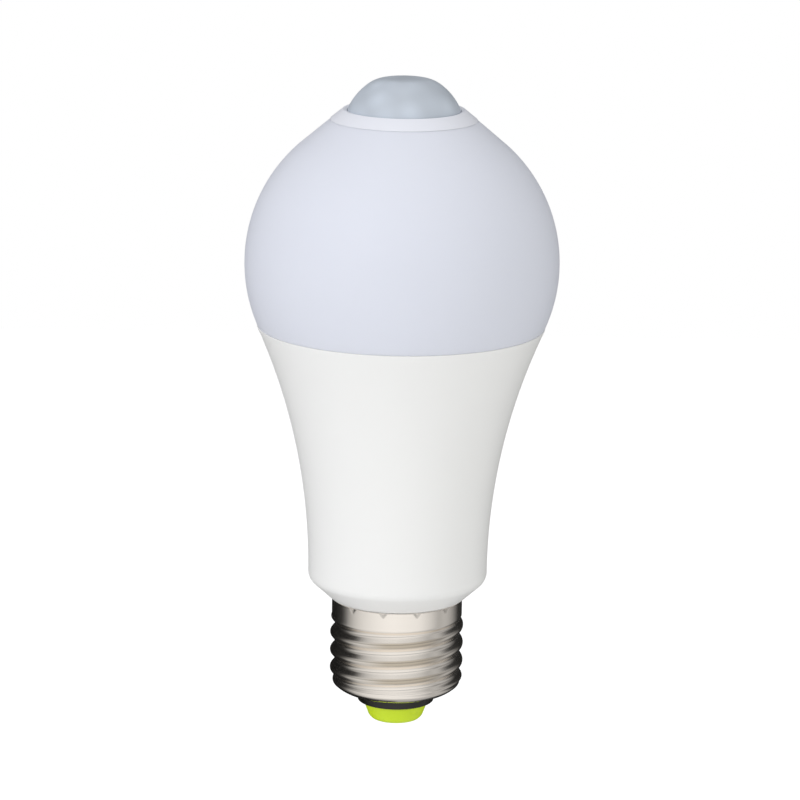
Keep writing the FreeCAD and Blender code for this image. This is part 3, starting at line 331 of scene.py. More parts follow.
def add_node(tree, kind, settings=None, links=None, stops=()):
    """Adds one node, with its settings, the values of its inputs, its links and its ramp's stops."""
    made = tree.nodes.new(kind)
    for place, (position, colour) in enumerate(stops):
        elements = made.color_ramp.elements
        stop = elements[place] if place < 2 else elements.new(position)
        stop.position = position
        stop.color = (*colour, 1)
    for key, wanted in (settings or {}).items():
        if isinstance(key, str) and hasattr(made, key):
            setattr(made, key, wanted)
        else:
            made.inputs[key].default_value = wanted
    for key, source in (links or {}).items():
        tree.links.new(source, made.inputs[key])
    return made


def new_finish(name, colour, settings):
    """A material with one surface shader; returns the material, its tree and its shader."""
    material = bpy.data.materials.new(name)
    material.use_nodes = True
    shader = material.node_tree.nodes["Principled BSDF"]
    shader.inputs["Base Color"].default_value = (*colour, 1)
    for key, wanted in settings.items():
        shader.inputs[key].default_value = wanted
    return material, material.node_tree, shader


def object_place(tree, scale=(1, 1, 1)):
    """Object coordinates, stretched by a Mapping node."""
    place = add_node(tree, "ShaderNodeTexCoord")
    return add_node(tree, "ShaderNodeMapping", {"Scale": scale}, {"Vector": place.outputs["Object"]})


def grain(tree, shader, width, height, scale=(1, 1, 1)):
    """A fine uneven surface, given by the width and the height of its grain."""
    place = object_place(tree, scale)
    noise = add_node(tree, "ShaderNodeTexNoise", {"Scale": 1 / width, "Detail": 3},
                     {"Vector": place.outputs["Vector"]})
    bump = add_node(tree, "ShaderNodeBump", {"Distance": height}, {"Height": noise.outputs["Fac"]})
    tree.links.new(bump.outputs["Normal"], shader.inputs["Normal"])
    return noise


def vary(tree, shader, socket, noise, low, high):
    """Lets a value drift between two limits over the surface."""
    span = add_node(tree, "ShaderNodeMapRange", {"To Min": low, "To Max": high},
                    {"Value": noise.outputs["Fac"]})
    tree.links.new(span.outputs["Result"], shader.inputs[socket])


# Grain, as width and height: a moulded or cast skin is really about 0.05 mm fine, which wouldn't show,
# so it is drawn about ten times as wide
MOULD_GRAIN = (0.5 * MM, 0.003 * MM)
LENS_GRAIN = (0.8 * MM, 0.01 * MM)
PLAIN_GRAIN = (0.6 * MM, 0.004 * MM)
# Lines left by the drawing of the sheet: 40 mm long round the shell and 0.4 mm apart, which is also
# coarser than real
SHEET_GRAIN = (6 * MM, 0.001 * MM)
SHEET_STRETCH = (0.15, 0.15, 14)
# Where the thread's crests are painted browner, a painted dark reflection: most at a place by the
# front, in shares of the crest's radius, fully within the first distance of it, and by the least share
# past the second
REFLECTION_PLACE = (0.15, -1, 0)
REFLECTION_REACH = (3 * MM, 10 * MM)
REFLECTION_LEAST = 0.15
# Depth under the crest where that painted reflection is full
REFLECTION_DEPTH = 0.05 * MM
# The facets inside such a lens are about 4 mm wide
FACET_WIDTH = 4.2 * MM


def nickel_plate(colour, crest_reflection_colour, flank_radius, crest_radius):
    """Nickel plate on drawn sheet: warm, bright and a little soft, with a painted dark reflection that
    turns the crests browner, most by the front.
    """
    material, tree, shader = new_finish("nickel_plate", colour, {"Metallic": 1})
    lines = grain(tree, shader, *SHEET_GRAIN, scale=SHEET_STRETCH)
    vary(tree, shader, "Roughness", lines, 0.13, 0.22)
    flat = object_place(tree, (1, 1, 0))
    radius = add_node(tree, "ShaderNodeVectorMath", {"operation": "LENGTH"},
                      {0: flat.outputs["Vector"]})
    crest = add_node(tree, "ShaderNodeMapRange",
                     {"interpolation_type": "SMOOTHSTEP", "From Min": flank_radius,
                      "From Max": crest_radius}, {"Value": radius.outputs["Value"]})
    front = [share * crest_radius for share in REFLECTION_PLACE]
    near = add_node(tree, "ShaderNodeVectorMath", {"operation": "DISTANCE", 1: front},
                    {0: flat.outputs["Vector"]})
    front_reflection_share = add_node(tree, "ShaderNodeMapRange",
                    {"interpolation_type": "SMOOTHSTEP", "From Min": REFLECTION_REACH[0],
                     "From Max": REFLECTION_REACH[1], "To Min": 1, "To Max": REFLECTION_LEAST},
                    {"Value": near.outputs["Value"]})
    crest_reflection_share = add_node(tree, "ShaderNodeMath", {"operation": "MULTIPLY"},
                   {0: crest.outputs["Result"], 1: front_reflection_share.outputs["Result"]})
    # Painted reflection: the crests turn from the nickel colour to the browner one, most by the front
    tone = add_node(tree, "ShaderNodeMix", {"data_type": "RGBA", 6: (*colour, 1), 7: (*crest_reflection_colour, 1)},
                    {0: crest_reflection_share.outputs["Value"]})
    tree.links.new(tone.outputs[2], shader.inputs["Base Color"])
    return material


def moulded_plastic(name, colour, *, roughness, bleed, depth):
    """Moulded plastic that light enters a little, with the faint texture of its mould."""
    material, tree, shader = new_finish(name, colour, {
        "IOR": 1.5,
        "Subsurface Weight": bleed,
        "Subsurface Radius": (1, 1, 1),
        "Subsurface Scale": depth,
    })
    noise = grain(tree, shader, *MOULD_GRAIN)
    vary(tree, shader, "Roughness", noise, roughness - 0.04, roughness + 0.04)
    return material


def lens_plastic(colour):
    """Polyethylene lens: grey and cloudy, with faint patches where its facets gather light."""
    material, tree, shader = new_finish("lens_polyethylene", colour, {
        "Roughness": 0.36,
        "IOR": 1.54,
        "Subsurface Weight": 0.25,
        "Subsurface Radius": (1, 1, 1),
        "Subsurface Scale": 0.6 * MM,
    })
    place = object_place(tree)
    patches = add_node(tree, "ShaderNodeTexVoronoi",
                       {"feature": "SMOOTH_F1", "Scale": 1 / FACET_WIDTH, "Smoothness": 0.6},
                       {"Vector": place.outputs["Vector"]})
    light, dark = ([share * level for share in colour] for level in (1.06, 0.9))
    tones = add_node(tree, "ShaderNodeValToRGB", {}, {"Fac": patches.outputs["Distance"]},
                     ((0.15, light), (0.75, dark)))
    tree.links.new(tones.outputs["Color"], shader.inputs["Base Color"])
    grain(tree, shader, *LENS_GRAIN)
    return material


def plain_finish(name, code, roughness, metallic):
    """A finish that hardly shows, with a fine grain of its own."""
    material, tree, shader = new_finish(name, linear(code), {"Metallic": metallic})
    noise = grain(tree, shader, *PLAIN_GRAIN)
    vary(tree, shader, "Roughness", noise, roughness * 0.85, min(1, roughness * 1.15))
    return material


def dress(finishes):
    """Gives solids that keep their own shape their finishes."""
    for name, code, roughness, metallic, nodes in finishes:
        material = plain_finish(name, code, roughness, metallic)
        for node in nodes:
            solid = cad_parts[node]
            if not solid.material_slots:
                solid.data.materials.append(material)
            for place in solid.material_slots:
                place.material = material


def matt_floor(colour, glow):
    """A plain matt floor, clear from below; its glow only whitens what the camera sees."""
    material, tree, shader = new_finish("pale_floor", colour,
                                        {"Roughness": 0.9, "Specular IOR Level": 0.1})
    ray = add_node(tree, "ShaderNodeLightPath")
    level = add_node(tree, "ShaderNodeMath", {"operation": "MULTIPLY", 1: glow},
                     {0: ray.outputs["Is Camera Ray"]})
    shader.inputs["Emission Color"].default_value = (1, 1, 1, 1)
    tree.links.new(level.outputs["Value"], shader.inputs["Emission Strength"])
    face = add_node(tree, "ShaderNodeNewGeometry")
    clear = add_node(tree, "ShaderNodeBsdfTransparent")
    side = add_node(tree, "ShaderNodeMixShader", {}, {
        0: face.outputs["Backfacing"],
        1: shader.outputs["BSDF"],
        2: clear.outputs["BSDF"],
    })
    tree.links.new(side.outputs["Shader"], tree.nodes["Material Output"].inputs["Surface"])
    return material


# Screw cap


def soft_step(low, high, place):
    """0 below the low limit, 1 above the high one, and a soft rise between them."""
    share = min(1, max(0, (place - low) / (high - low)))
    return share * share * (3 - 2 * share)


def thread_dip(sizes, off):
    """How far the thread lies under its crest at a distance from it: an arc, then the flank."""
    if off < sizes.arc_radius * math.sin(sizes.flank):
        return sizes.arc_radius - math.sqrt(sizes.arc_radius ** 2 - off ** 2)
    return sizes.depth / 2 - (sizes.pitch / 4 - off) * math.tan(sizes.flank)


def thread_radius(sizes, crest_radius, turn, height):
    """Radius of the rolled thread at a turn and a height."""
    rise = height - sizes.crest_height - sizes.pitch * turn / math.tau
    off = abs((rise / sizes.pitch + 0.5) % 1 - 0.5) * sizes.pitch
    if off < sizes.pitch / 4:
        return crest_radius - thread_dip(sizes, off)
    return crest_radius - sizes.depth + thread_dip(sizes, sizes.pitch / 2 - off)


def dent_share(sizes, turn, below):
    """How deep a staking dent is at a place: a wedge, deepest in the middle of the skirt's edge."""
    step = math.tau / sizes.dent_count
    off = abs((turn - sizes.dent_turn + step / 2) % step - step / 2) * sizes.skirt_radius
    side = 1 - off / (sizes.dent_width / 2)
    down = 1 - below / sizes.dent_height
    return max(0, min(1, sizes.dent_slope * (side + down - 1)))


def roll_thread(piece, sizes, crest_radius, corner, edge):
    """Rolls the thread and presses the dents into the outer side of the drawn shell."""
    inside = sizes.shoulder_radius - SKIN
    for vertex in piece.data.vertices:
        radius, height = vertex.co.xy.length, vertex.co.z
        if height < corner or radius < inside:
            continue
        turn = math.atan2(vertex.co.x, -vertex.co.y) % math.tau
        wave = thread_radius(sizes, crest_radius, turn, height)
        wanted = sizes.shoulder_radius
        wanted += (wave - wanted) * soft_step(corner, corner + sizes.fade_in, height)
        wanted += (sizes.skirt_radius - wanted) * soft_step(sizes.fade_start, sizes.fade_end, height)
        wanted -= sizes.dent_depth * dent_share(sizes, turn, edge - height)
        vertex.co.xy *= wanted / radius


class BULB_OT_screw_shell(bpy.types.Operator):
    """The nickel screw shell: shoulder, rolled thread, smooth skirt and staking dents"""

    bl_idname = "bulb.screw_shell"
    bl_label = "Screw shell"

    def execute(self, context):
        sizes = context.scene.bulb_cap
        base, edge = foot("screw_shell"), top("screw_shell") - sizes.edge_drop
        mouth, outer, rise = sizes.mouth_radius, sizes.shoulder_radius, sizes.shoulder_rise
        dents_foot = edge - sizes.dent_height
        inner = sizes.skirt_radius - sizes.sheet
        core = reach("screw_shell") - sizes.depth - sizes.sheet
        dish = ((outer - mouth) ** 2 + rise ** 2) / (2 * rise)
        fillet = sizes.corner_round
        middle_r = outer - fillet
        middle_z = base + dish - math.sqrt((dish - fillet) ** 2 - (middle_r - mouth) ** 2)
        lean = math.degrees(math.atan2(middle_z - base - dish, middle_r - mouth))
        bore = mouth - sizes.sheet
        rings = [(bore, base)]
        rings += arc(mouth, base + dish, dish, -90, lean, steps=14)
        rings += arc(middle_r, middle_z, fillet, lean, 0, steps=6)
        rings += [(outer, sizes.fade_end), (outer, dents_foot), (outer, edge)]
        rings += [(inner, edge), (inner, sizes.fade_end)]
        rings += [(core, sizes.fade_start), (core, base + rise)]
        rings += arc(mouth, base + dish, dish - sizes.sheet, lean, -90, steps=8)
        rings += [(bore, base + sizes.sheet), (bore, base)]
        piece = draw_up(rings, columns=384)
        least = outer - SKIN
        add_rows(piece, middle_z, sizes.fade_end, least, rows=108)
        add_rows(piece, sizes.fade_end, dents_foot, least, rows=6)
        add_rows(piece, dents_foot, edge, least, rows=9)
        roll_thread(piece, sizes, reach("screw_shell"), middle_z, edge)
        round_edges(piece, sizes.sheet * 0.45, sharp=60)
        smooth(piece, degrees=50)
        colours = context.scene.bulb_colours
        crest = reach("screw_shell")
        # The second colour is the crests' painted dark reflection
        material = nickel_plate(colours.nickel, colours.crest_reflection_colour, crest - sizes.sheet, crest - REFLECTION_DEPTH)
        finish_piece(piece, "rolled_screw_shell", material, "screw_shell")
        return {"FINISHED"}


class BULB_OT_insulators(bpy.types.Operator):
    """The black insulator, the green tip and the rivet of the centre contact"""

    bl_idname = "bulb.insulators"
    bl_label = "Insulators and contact"

    def execute(self, context):
        sizes = context.scene.bulb_cap
        colours = context.scene.bulb_colours
        shell_base = foot("screw_shell")
        low, high = foot("cap_insulator"), top("cap_insulator")
        face = foot("tip_insulator")
        rim = face + sizes.green_height
        shelf = rim + sizes.green_seat
        spigot = sizes.spigot_radius
        bore, throat = sizes.green_rim + sizes.fit, spigot + sizes.fit
        mouth = sizes.mouth_radius - sizes.sheet
        flange = mouth + sizes.flange_lap
        seat = shell_base + sizes.sheet
        piece = draw_up([
            (bore, low), (sizes.black_rim, low), (sizes.black_top, shell_base), (mouth, shell_base),
            (mouth, seat), (flange, seat + sizes.fit), (flange, high), (throat, high), (throat, shelf),
            (bore, shelf), (bore, low),
        ], columns=192)
        round_edges(piece, sizes.black_round)
        smooth(piece)
        # Pressed phenolic: deep black with a dull sheen
        material = moulded_plastic("black_phenolic", colours.black, roughness=0.34, bleed=0, depth=MM)
        finish_piece(piece, "black_cap_insulator", material, "cap_insulator")
        bevel = sizes.green_bevel
        piece = draw_up([
            (sizes.shank_radius, face), (sizes.green_face - bevel / 2, face),
            (sizes.green_face + bevel / 2, face + bevel), (sizes.green_rim, rim),
            (sizes.green_rim, shelf), (spigot, shelf), (spigot, high), (sizes.shank_radius, high),
            (sizes.shank_radius, face),
        ], columns=192)
        round_edges(piece, sizes.green_round, sharp=20)
        smooth(piece)
        # Moulded polyester: a strong lime that is softly lit from inside
        material = moulded_plastic("lime_polyester", colours.lime, roughness=0.38, bleed=0.15,
                                   depth=0.6 * MM)
        finish_piece(piece, "green_tip_insulator", material, "tip_insulator")
        radius, end = reach("centre_contact"), top("centre_contact")
        head, shank, curve = sizes.rivet_head, sizes.shank_radius, sizes.rivet_round
        piece = draw_up([
            (0, 0), (radius * 0.55, curve / 5), (radius * 0.85, curve), (radius, head * 0.6),
            (radius, head), (shank, head), (shank, end - curve), (shank - curve, end), (0, end),
        ], columns=96)
        smooth(piece)
        # Tinned brass, headed cold: pale warm metal with a soft sheen
        material = plain_finish("tinned_rivet", "BEBAB2", 0.3, 1)
        finish_piece(piece, "rivet_contact", material, "centre_contact")
        return {"FINISHED"}


# Housing, globe, collar and lens


def flare_rings(sizes, inset, low, high, *, steps):
    """Rings up the flare's hollow curve, at an inset from the outside, between two heights."""
    seam_rise = top("housing") - flare_foot(sizes)
    swell = reach("housing") - sizes.barrel_radius
    radius = (swell ** 2 + seam_rise ** 2) / (2 * swell)
    rings = []
    for step in range(steps + 1):
        height = low + (high - low) * step / steps
        rise = height - flare_foot(sizes)
        across = sizes.barrel_radius + radius - math.sqrt((radius + inset) ** 2 - rise ** 2)
        rings.append((across, height))
    return rings


def flare_foot(sizes):
    """Height where the straight barrel ends and the flare starts."""
    return top("screw_shell") + sizes.gap + sizes.bevel_rise + sizes.barrel_rise


class BULB_OT_housing(bpy.types.Operator):
    """The white moulded housing: neck, bevel, barrel, flare and the globe's socket"""

    bl_idname = "bulb.housing"
    bl_label = "Housing"

    def execute(self, context):
        sizes = context.scene.bulb_body
        seam, base = top("housing"), foot("housing")
        housing_foot = top("screw_shell") + sizes.gap
        barrel = sizes.barrel_radius
        slant = math.degrees(math.atan2(sizes.bevel_rise, barrel - sizes.foot_radius))
        fillet = sizes.bevel_round
        bevel_top = housing_foot + sizes.bevel_rise
        fillet_z = bevel_top + fillet * math.tan(math.radians((90 - slant) / 2))
        ledge = sizes.ledge
        bore = sizes.neck_radius - sizes.neck_wall
        register = housing_foot - sizes.register_height
        cup, step = foot("heat_sink_cup"), sizes.cup_step
        board = foot("driver_board")
        inner = barrel - sizes.wall
        socket_floor = seam - sizes.socket_depth
        rings = [(bore - ledge, base), (sizes.neck_radius - ledge / 2, base)]
        rings += [(sizes.neck_radius, base + ledge / 2)]
        rings += [(sizes.neck_radius, register - sizes.register_ramp)]
        rings += [(sizes.register_radius, register), (sizes.register_radius, housing_foot)]
        rings += [(sizes.foot_radius, housing_foot)]
        rings += arc(barrel - fillet, fillet_z, fillet, slant - 90, 0, steps=10)
        rings += flare_rings(sizes, 0, flare_foot(sizes), seam, steps=40)
        rings += [(sizes.socket_radius, seam), (sizes.socket_radius, socket_floor)]
        rings += flare_rings(sizes, sizes.wall, socket_floor, cup, steps=24)
        rings += [(inner - step, cup), (inner - step, cup - step), (inner, cup - 2 * step)]
        rings += [(inner, bevel_top + sizes.inner_rise)]
        rings += [(bore, housing_foot), (bore, board), (bore - ledge, board), (bore - ledge, base)]
        piece = draw_up(rings, sizes.columns)
        round_edges(piece, sizes.edge_round)
        smooth(piece)
        colour = context.scene.bulb_colours.housing
        # Moulded polycarbonate: a satin white with broad, soft highlights
        material = moulded_plastic("white_polycarbonate", colour, roughness=0.36, bleed=0.1,
                                   depth=0.5 * MM)
        finish_piece(piece, "white_housing", material, "housing")
        return {"FINISHED"}


class BULB_OT_globe(bpy.types.Operator):
    """The milky globe: spigot, ball, conical crown and mouth"""

    bl_idname = "bulb.globe"
    bl_label = "Globe"

    def execute(self, context):
        sizes = context.scene.bulb_body
        seam, radius = top("housing"), reach("diffuser")
        mouth_z, spigot_z = top("diffuser"), foot("diffuser")
        seam_radius = reach("housing") - sizes.seam_step
        middle = seam + math.sqrt(radius ** 2 - seam_radius ** 2)
        low = math.degrees(math.atan2(seam - middle, seam_radius))
        high = math.degrees(math.asin(sizes.crown_rise / radius))
        inner = radius - sizes.globe_wall
        web = seam + sizes.spigot_wall
        inner_low = math.degrees(math.asin((web - middle) / inner))
        spigot = sizes.socket_radius - sizes.fit
        spigot_bore = spigot - sizes.spigot_wall
        mouth = sizes.mouth_radius
        edge = mouth + sizes.mouth_edge
        rings = [(spigot_bore, spigot_z), (spigot, spigot_z), (spigot, seam)]
        rings += arc(0, middle, radius, low, high, steps=72)
        rings += [(edge, mouth_z), (mouth, mouth_z), (mouth, mouth_z - sizes.mouth_edge)]
        rings += arc(0, middle, inner, high, inner_low, steps=40)
        rings += [(spigot_bore, web), (spigot_bore, spigot_z)]
        piece = draw_up(rings, sizes.columns)
        round_edges(piece, sizes.globe_round)
        smooth(piece)
        colour = context.scene.bulb_colours.globe
        # Moulded milky polycarbonate: light enters it, so its bluish white shades very softly
        material = moulded_plastic("opal_polycarbonate", colour, roughness=0.42, bleed=0.35,
                                   depth=1.2 * MM)
        finish_piece(piece, "milky_globe", material, "diffuser")
        return {"FINISHED"}


class BULB_OT_collar(bpy.types.Operator):
    """The white ring that holds the lens on the globe's mouth"""

    bl_idname = "bulb.collar"
    bl_label = "Collar"

    def execute(self, context):
        sizes = context.scene.bulb_body
        lens = context.scene.bulb_lens
        low, high = foot("sensor_collar"), top("sensor_collar")
        mouth_z = top("diffuser")
        outer = reach("sensor_collar")
        sleeve = sizes.mouth_radius - sizes.fit
        bore = sleeve - sizes.sleeve_wall
        hole = lens.radius + sizes.lens_gap
        lip = high - sizes.collar_lip
        piece = draw_up([
            (bore, low), (sleeve, low), (sleeve, mouth_z), (outer, mouth_z),
            (outer, mouth_z + sizes.collar_edge), (sizes.collar_rim, high),
            (hole, high - sizes.collar_dish), (hole, lip), (bore, lip), (bore, low),
        ], sizes.columns)
        round_edges(piece, sizes.collar_round)
        smooth(piece)
        colour = context.scene.bulb_colours.collar
        # Moulded ABS: a plain cool white, denser than the globe beside it
        material = moulded_plastic("white_abs", colour, roughness=0.4, bleed=0.1, depth=0.4 * MM)
        finish_piece(piece, "white_collar", material, "sensor_collar")
        return {"FINISHED"}


class BULB_OT_lens(bpy.types.Operator):
    """The grey dome lens with its flat facet on top"""

    bl_idname = "bulb.lens"
    bl_label = "Lens"

    def execute(self, context):
        sizes = context.scene.bulb_lens
        low, high = foot("sensor_lens"), top("sensor_lens")
        outer, dome = sizes.radius, sizes.dome_radius
        flange = reach("sensor_lens")
        lip = low + sizes.flange
        middle = high - math.sqrt(dome ** 2 - sizes.flat_radius ** 2)
        start = math.degrees(math.acos(outer / dome))
        fillet = sizes.flat_round
        fillet_r = math.sqrt((dome - fillet) ** 2 - (high - fillet - middle) ** 2)
        end = math.degrees(math.atan2(high - fillet - middle, fillet_r))
        bore, inner = outer - sizes.wall, dome - sizes.wall
        inner_start = math.degrees(math.acos(bore / inner))
        inner_flat = high - sizes.wall
        inner_end = math.degrees(math.asin((inner_flat - middle) / inner))
        rings = [(bore, low), (flange, low), (flange, lip), (outer, lip)]
        rings += arc(0, middle, dome, start, end, steps=24)
        rings += arc(fillet_r, high - fillet, fillet, end, 90, steps=8)
        rings += [(fillet_r / 2, high), (0, high), (0, inner_flat)]
        rings += arc(0, middle, inner, inner_end, inner_start, steps=28)
        rings += [(bore, low)]
        piece = draw_up(rings, columns=192)
        smooth(piece, degrees=30)
        material = lens_plastic(context.scene.bulb_colours.lens)
        finish_piece(piece, "dome_lens", material, "sensor_lens")
        return {"FINISHED"}


# Pieces inside


LED_PACKAGES = [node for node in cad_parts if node.startswith("led_") and node != "led_board"]
# Finishes of the solids inside: name, colour, roughness, metallic and nodes
LIGHT_SOURCE = (
    # Pressed sheet: light grey with a broad sheen
    ("pressed_aluminium", "C9CACC", 0.38, 1, ["heat_sink_cup"]),
    # Screened lacquer: an even bright white, a little glossy
    ("white_solder_resist", "EFEFEC", 0.35, 0, ["led_board"]),
    # Cast silicone full of phosphor: a dull egg yellow
    ("yellow_phosphor", "EBD265", 0.5, 0, LED_PACKAGES),
    # Bright zinc plate: cool grey with small glints
    ("zinc_plated_steel", "B4B6B8", 0.3, 1, ["board_screws"]),
    # Moulded nylon: a warm white, a little waxy
    ("cream_nylon", "EBE7DA", 0.4, 0, ["board_connector"]),
    # Tin over drawn brass: pale and warm, with clear reflections
    ("tinned_brass", "CFC8B4", 0.25, 1, ["pin_plus", "pin_minus"]),
    # Cast silicone: a greyish white without shine
    ("cured_silicone", "DDDDD8", 0.6, 0, ["diffuser_seal"]),
)
SENSOR = (
    # Moulded polypropylene: a soft matt white
    ("white_polypropylene", "EDEDEB", 0.45, 0, ["sensor_column"]),
    # Screened lacquer over copper: a deep glossy green
    ("green_solder_resist", "1E5B37", 0.3, 0, ["sensor_board", "driver_board"]),
    # Nickel plate on a drawn can: a warm grey, nearly a mirror
    ("nickel_can", "BDBDB8", 0.28, 1, ["pir_sensor"]),
    # Clear cast resin: amber with sharp highlights
    ("clear_epoxy", "D3A168", 0.12, 0, ["photocell"]),
    # Moulded resin full of soot: a dull black
    ("black_epoxy", "17171A", 0.55, 0, ["sensor_chip", "bridge_rectifier", "driver_chip"]),
    # Extruded PVC: strong colours with a silky line of light along the wire
    ("red_insulation", "A3201C", 0.45, 0, ["sensor_wire_1", "live_wire"]),
    ("white_insulation", "E2E2DE", 0.45, 0, ["sensor_wire_2"]),
    ("black_insulation", "161616", 0.45, 0, ["sensor_wire_3", "neutral_wire"]),
)
DRIVER = (
    # Shrunk sleeve: a smooth, glossy dark blue
    ("shrink_sleeve", "20243A", 0.35, 0, ["bulk_capacitor", "output_capacitor", "sensor_capacitor"]),
    # Dipped resin: brick red with rounded highlights
    ("dipped_epoxy", "8E3A22", 0.3, 0, ["film_capacitor"]),
    # Sintered powder: a dry dark grey
    ("bare_ferrite", "343436", 0.6, 0, ["choke_core"]),
    # Lacquered wire: bright copper
    ("enamelled_copper", "B36A35", 0.25, 1, ["choke_winding"]),
    # Baked cement: a chalky pale green
    ("flameproof_coat", "6E8C74", 0.6, 0, ["fuse_resistor"]),
    # Dipped resin: deep blue with rounded highlights
    ("blue_epoxy", "24438C", 0.35, 0, ["varistor"]),
)


class BULB_OT_light_source(bpy.types.Operator):
    """The heat sink cup, the LED board and what it carries, and the globe's seal"""

    bl_idname = "bulb.light_source"
    bl_label = "Light source"

    def execute(self, context):
        dress(LIGHT_SOURCE)
        return {"FINISHED"}


class BULB_OT_sensor(bpy.types.Operator):
    """The column, the sensor board and what it carries, and all the wires"""

    bl_idname = "bulb.sensor"
    bl_label = "Sensor"

    def execute(self, context):
        dress(SENSOR)
        return {"FINISHED"}


class BULB_OT_driver(bpy.types.Operator):
    """The components on the driver board"""

    bl_idname = "bulb.driver"
    bl_label = "Driver"

    def execute(self, context):
        dress(DRIVER)
        return {"FINISHED"}


# Stage


# The surround that reflections see, by how far a ray goes to the front (1) or the back (-1): the level
# on the left and on the right
FRONT_LEVELS = (
    (-1, 0.01, 0.02), (-0.7, 0.012, 0.03), (-0.38, 0.03, 0.34), (-0.2, 0.14, 0.46), (-0.05, 0.36, 0.5),
    (0.17, 0.57, 0.43), (0.39, 0.72, 0.62), (0.73, 0.88, 0.88), (0.93, 0.97, 0.94), (1, 1, 1),
)
# By the height of a ray, these levels are multiplied: a darker band lies between floor and sky,
HEIGHT_LEVELS = ((-1, 1), (-0.15, 1), (-0.02, 0.6), (0.18, 0.6), (0.4, 1), (1, 1))
# and the place read above is moved to the front: floor and ceiling reach further back than walls
HEIGHT_SHIFTS = (
    (-1, 0.25), (-0.92, 0.3), (-0.8, 0.15), (-0.68, -0.05), (-0.5, -0.05), (-0.3, 0),
    (0.1, 0), (0.35, -0.1), (0.58, -0.28), (0.74, -0.08), (1, 0.3),
)
# Soft lights: name, place, width, level and colour
LAMPS = (
    ("key_light", (-0.85, -0.85, 0.6), 0.9, 2.2, "FAFBFF"),
    ("fill_light", (0.9, -0.95, 0.02), 0.8, 1.3, "FFFFFA"),
    ("top_light", (0, -0.1, 1.1), 0.8, 0.8, "FFFFFF"),
)


def hang_light(name, place, aim, width, level, code):
    """A soft square light whose face is as bright as a surround of that level."""
    lamp = bpy.data.lights.new(name, "AREA")
    lamp.color = linear(code)
    lamp.size = width
    lamp.energy = level * math.pi * width ** 2
    light = bpy.data.objects.new(name, lamp)
    light.location = place
    light.rotation_euler = (Vector(aim) - Vector(place)).to_track_quat("-Z", "Y").to_euler()
    light.visible_camera = False
    light.visible_glossy = False
    bpy.context.scene.collection.objects.link(light)


def pale_surround(diffuse_level):
    """White for the camera, even for diffuse light, and white to dark, front to back, in metal."""
    world = bpy.data.worlds.new("pale_surround")
    world.use_nodes = True
    tree = world.node_tree
    way = add_node(tree, "ShaderNodeTexCoord")
    parts = add_node(tree, "ShaderNodeSeparateXYZ", {}, {0: way.outputs["Generated"]})
    up = add_node(tree, "ShaderNodeMapRange", {"From Min": -1, "From Max": 1},
                  {"Value": parts.outputs["Z"]})
    ramp = add_node(tree, "ShaderNodeValToRGB", {}, {"Fac": up.outputs["Result"]},
                    [(height / 2 + 0.5, [0.5 + part] * 3) for height, part in HEIGHT_SHIFTS])
    shift = add_node(tree, "ShaderNodeMath", {"operation": "SUBTRACT", 1: 0.5},
                     {0: ramp.outputs["Color"]})
    depth = add_node(tree, "ShaderNodeMath", {"operation": "ADD", 1: 1}, {0: parts.outputs["Y"]})
    moved = add_node(tree, "ShaderNodeMath", {"operation": "MULTIPLY"},
                     {0: shift.outputs["Value"], 1: depth.outputs["Value"]})
    front = add_node(tree, "ShaderNodeMath", {"operation": "SUBTRACT"},
                     {0: moved.outputs["Value"], 1: parts.outputs["Y"]})
    away = add_node(tree, "ShaderNodeMapRange", {"From Min": 1, "From Max": -1, "To Max": 0.5},
                    {"Value": front.outputs["Value"]})
    side = add_node(tree, "ShaderNodeMath", {"operation": "SIGN"}, {0: parts.outputs["X"]})
    across = add_node(tree, "ShaderNodeMath", {"operation": "MULTIPLY_ADD", 2: 0.5},
                      {0: away.outputs["Result"], 1: side.outputs["Value"]})
    stops = [(0.25 + share / 4, [left] * 3) for share, left, right in FRONT_LEVELS]
    stops += [(0.75 - share / 4, [right] * 3) for share, left, right in FRONT_LEVELS[-2::-1]]
    sides = add_node(tree, "ShaderNodeValToRGB", {}, {"Fac": across.outputs["Value"]}, stops)
    heights = add_node(tree, "ShaderNodeValToRGB", {}, {"Fac": up.outputs["Result"]},
                       [(height / 2 + 0.5, [level] * 3) for height, level in HEIGHT_LEVELS])
    seen = add_node(tree, "ShaderNodeMath", {"operation": "MULTIPLY"},
                    {0: sides.outputs["Color"], 1: heights.outputs["Color"]})
    ray = add_node(tree, "ShaderNodeLightPath")
    sharp = add_node(tree, "ShaderNodeMath", {"operation": "MAXIMUM"},
                     {0: ray.outputs["Is Glossy Ray"], 1: ray.outputs["Is Transmission Ray"]})
    light = add_node(tree, "ShaderNodeMix", {"A": diffuse_level},
                     {"Factor": sharp.outputs["Value"], "B": seen.outputs["Value"]})
    level = add_node(tree, "ShaderNodeMix", {"B": 1},
                     {"Factor": ray.outputs["Is Camera Ray"], "A": light.outputs["Result"]})
    background = tree.nodes["Background"]
    background.inputs["Color"].default_value = (1, 1, 1, 1)
    tree.links.new(level.outputs["Result"], background.inputs["Strength"])
    return world


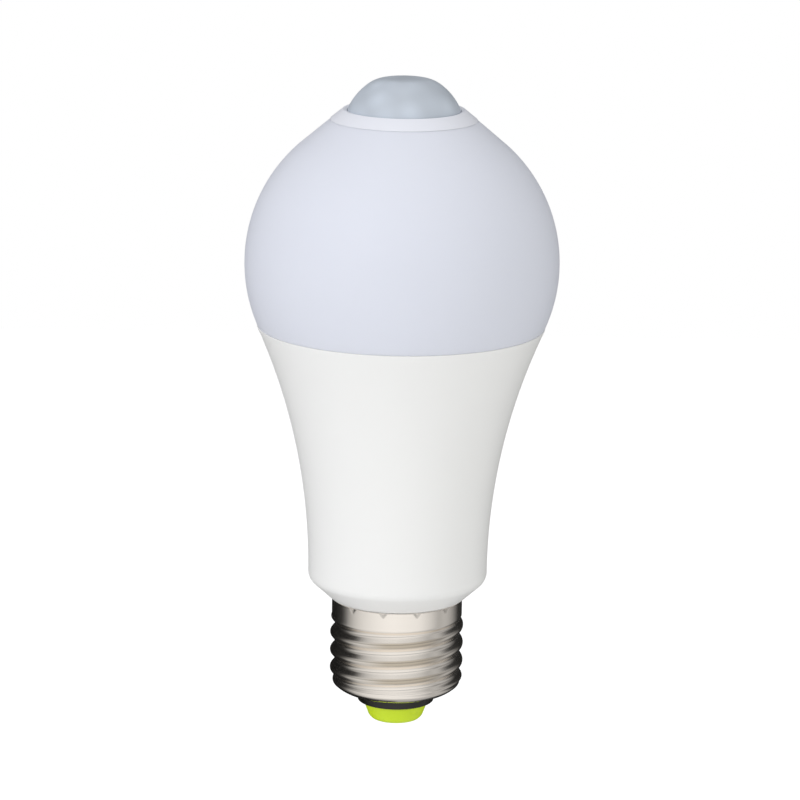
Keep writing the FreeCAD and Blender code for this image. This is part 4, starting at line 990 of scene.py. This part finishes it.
class BULB_OT_stage(bpy.types.Operator):
    """The floor, surround, lights and camera"""

    bl_idname = "bulb.stage"
    bl_label = "Stage"

    def execute(self, context):
        scene = context.scene
        sizes, colours = scene.bulb_stage, scene.bulb_colours
        clear_selection()
        bpy.ops.mesh.primitive_plane_add(size=sizes.floor_width, location=(0, 0, -sizes.floor_drop))
        floor = context.object
        floor.name = "floor"
        floor.visible_glossy = False
        floor.data.materials.append(matt_floor(colours.floor, sizes.floor_glow))
        aim = (0, 0, sizes.aim)
        for name, place, width, level, code in LAMPS:
            hang_light(name, place, aim, width, level, code)
        scene.world = pale_surround(sizes.world_level)
        lens = bpy.data.cameras.new("camera")
        lens.lens = sizes.focal
        camera = bpy.data.objects.new("camera", lens)
        scene.collection.objects.link(camera)
        back = Vector((0, -math.cos(sizes.pitch), math.sin(sizes.pitch))) * sizes.distance
        tilt = Matrix.Rotation(math.pi / 2 - sizes.pitch, 4, "X") @ Matrix.Rotation(sizes.roll, 4, "Z")
        camera.matrix_world = Matrix.Translation(Vector(aim) + back) @ tilt
        scene.camera = camera
        scene.view_settings.view_transform = "Standard"
        return {"FINISHED"}


# Panel and registration


class BULB_PT_pieces(bpy.types.Panel):
    """Lists the bulb's pieces in the sidebar"""

    bl_idname = "BULB_PT_pieces"
    bl_label = "Motion sensor bulb"
    bl_space_type = "VIEW_3D"
    bl_region_type = "UI"
    bl_category = "Bulb"

    def draw(self, context):
        for operator in OPERATORS:
            self.layout.operator(operator.bl_idname)
        for group in GROUPS:
            sizes = getattr(context.scene, group)
            box = self.layout.box()
            for name in sizes.__annotations__:
                box.prop(sizes, name)


GROUPS = {
    "bulb_cap": BulbCapSizes,
    "bulb_body": BulbBodySizes,
    "bulb_lens": BulbLensSizes,
    "bulb_colours": BulbColours,
    "bulb_stage": BulbStageSizes,
}
OPERATORS = (
    BULB_OT_screw_shell,
    BULB_OT_insulators,
    BULB_OT_housing,
    BULB_OT_globe,
    BULB_OT_collar,
    BULB_OT_lens,
    BULB_OT_light_source,
    BULB_OT_sensor,
    BULB_OT_driver,
    BULB_OT_stage,
)


def register():
    """Makes the sizes, operators and panel known."""
    for made in (*GROUPS.values(), *OPERATORS, BULB_PT_pieces):
        bpy.utils.register_class(made)
    for name, group in GROUPS.items():
        setattr(bpy.types.Scene, name, PointerProperty(type=group))


def unregister():
    """Takes them away again."""
    for name in GROUPS:
        delattr(bpy.types.Scene, name)
    for made in reversed((*GROUPS.values(), *OPERATORS, BULB_PT_pieces)):
        bpy.utils.unregister_class(made)


def main():
    """Builds every piece and the stage."""
    register()
    bpy.ops.bulb.screw_shell()
    bpy.ops.bulb.insulators()
    bpy.ops.bulb.housing()
    bpy.ops.bulb.globe()
    bpy.ops.bulb.collar()
    bpy.ops.bulb.lens()
    bpy.ops.bulb.light_source()
    bpy.ops.bulb.sensor()
    bpy.ops.bulb.driver()
    bpy.ops.bulb.stage()


if __name__ == "__main__":
    main()
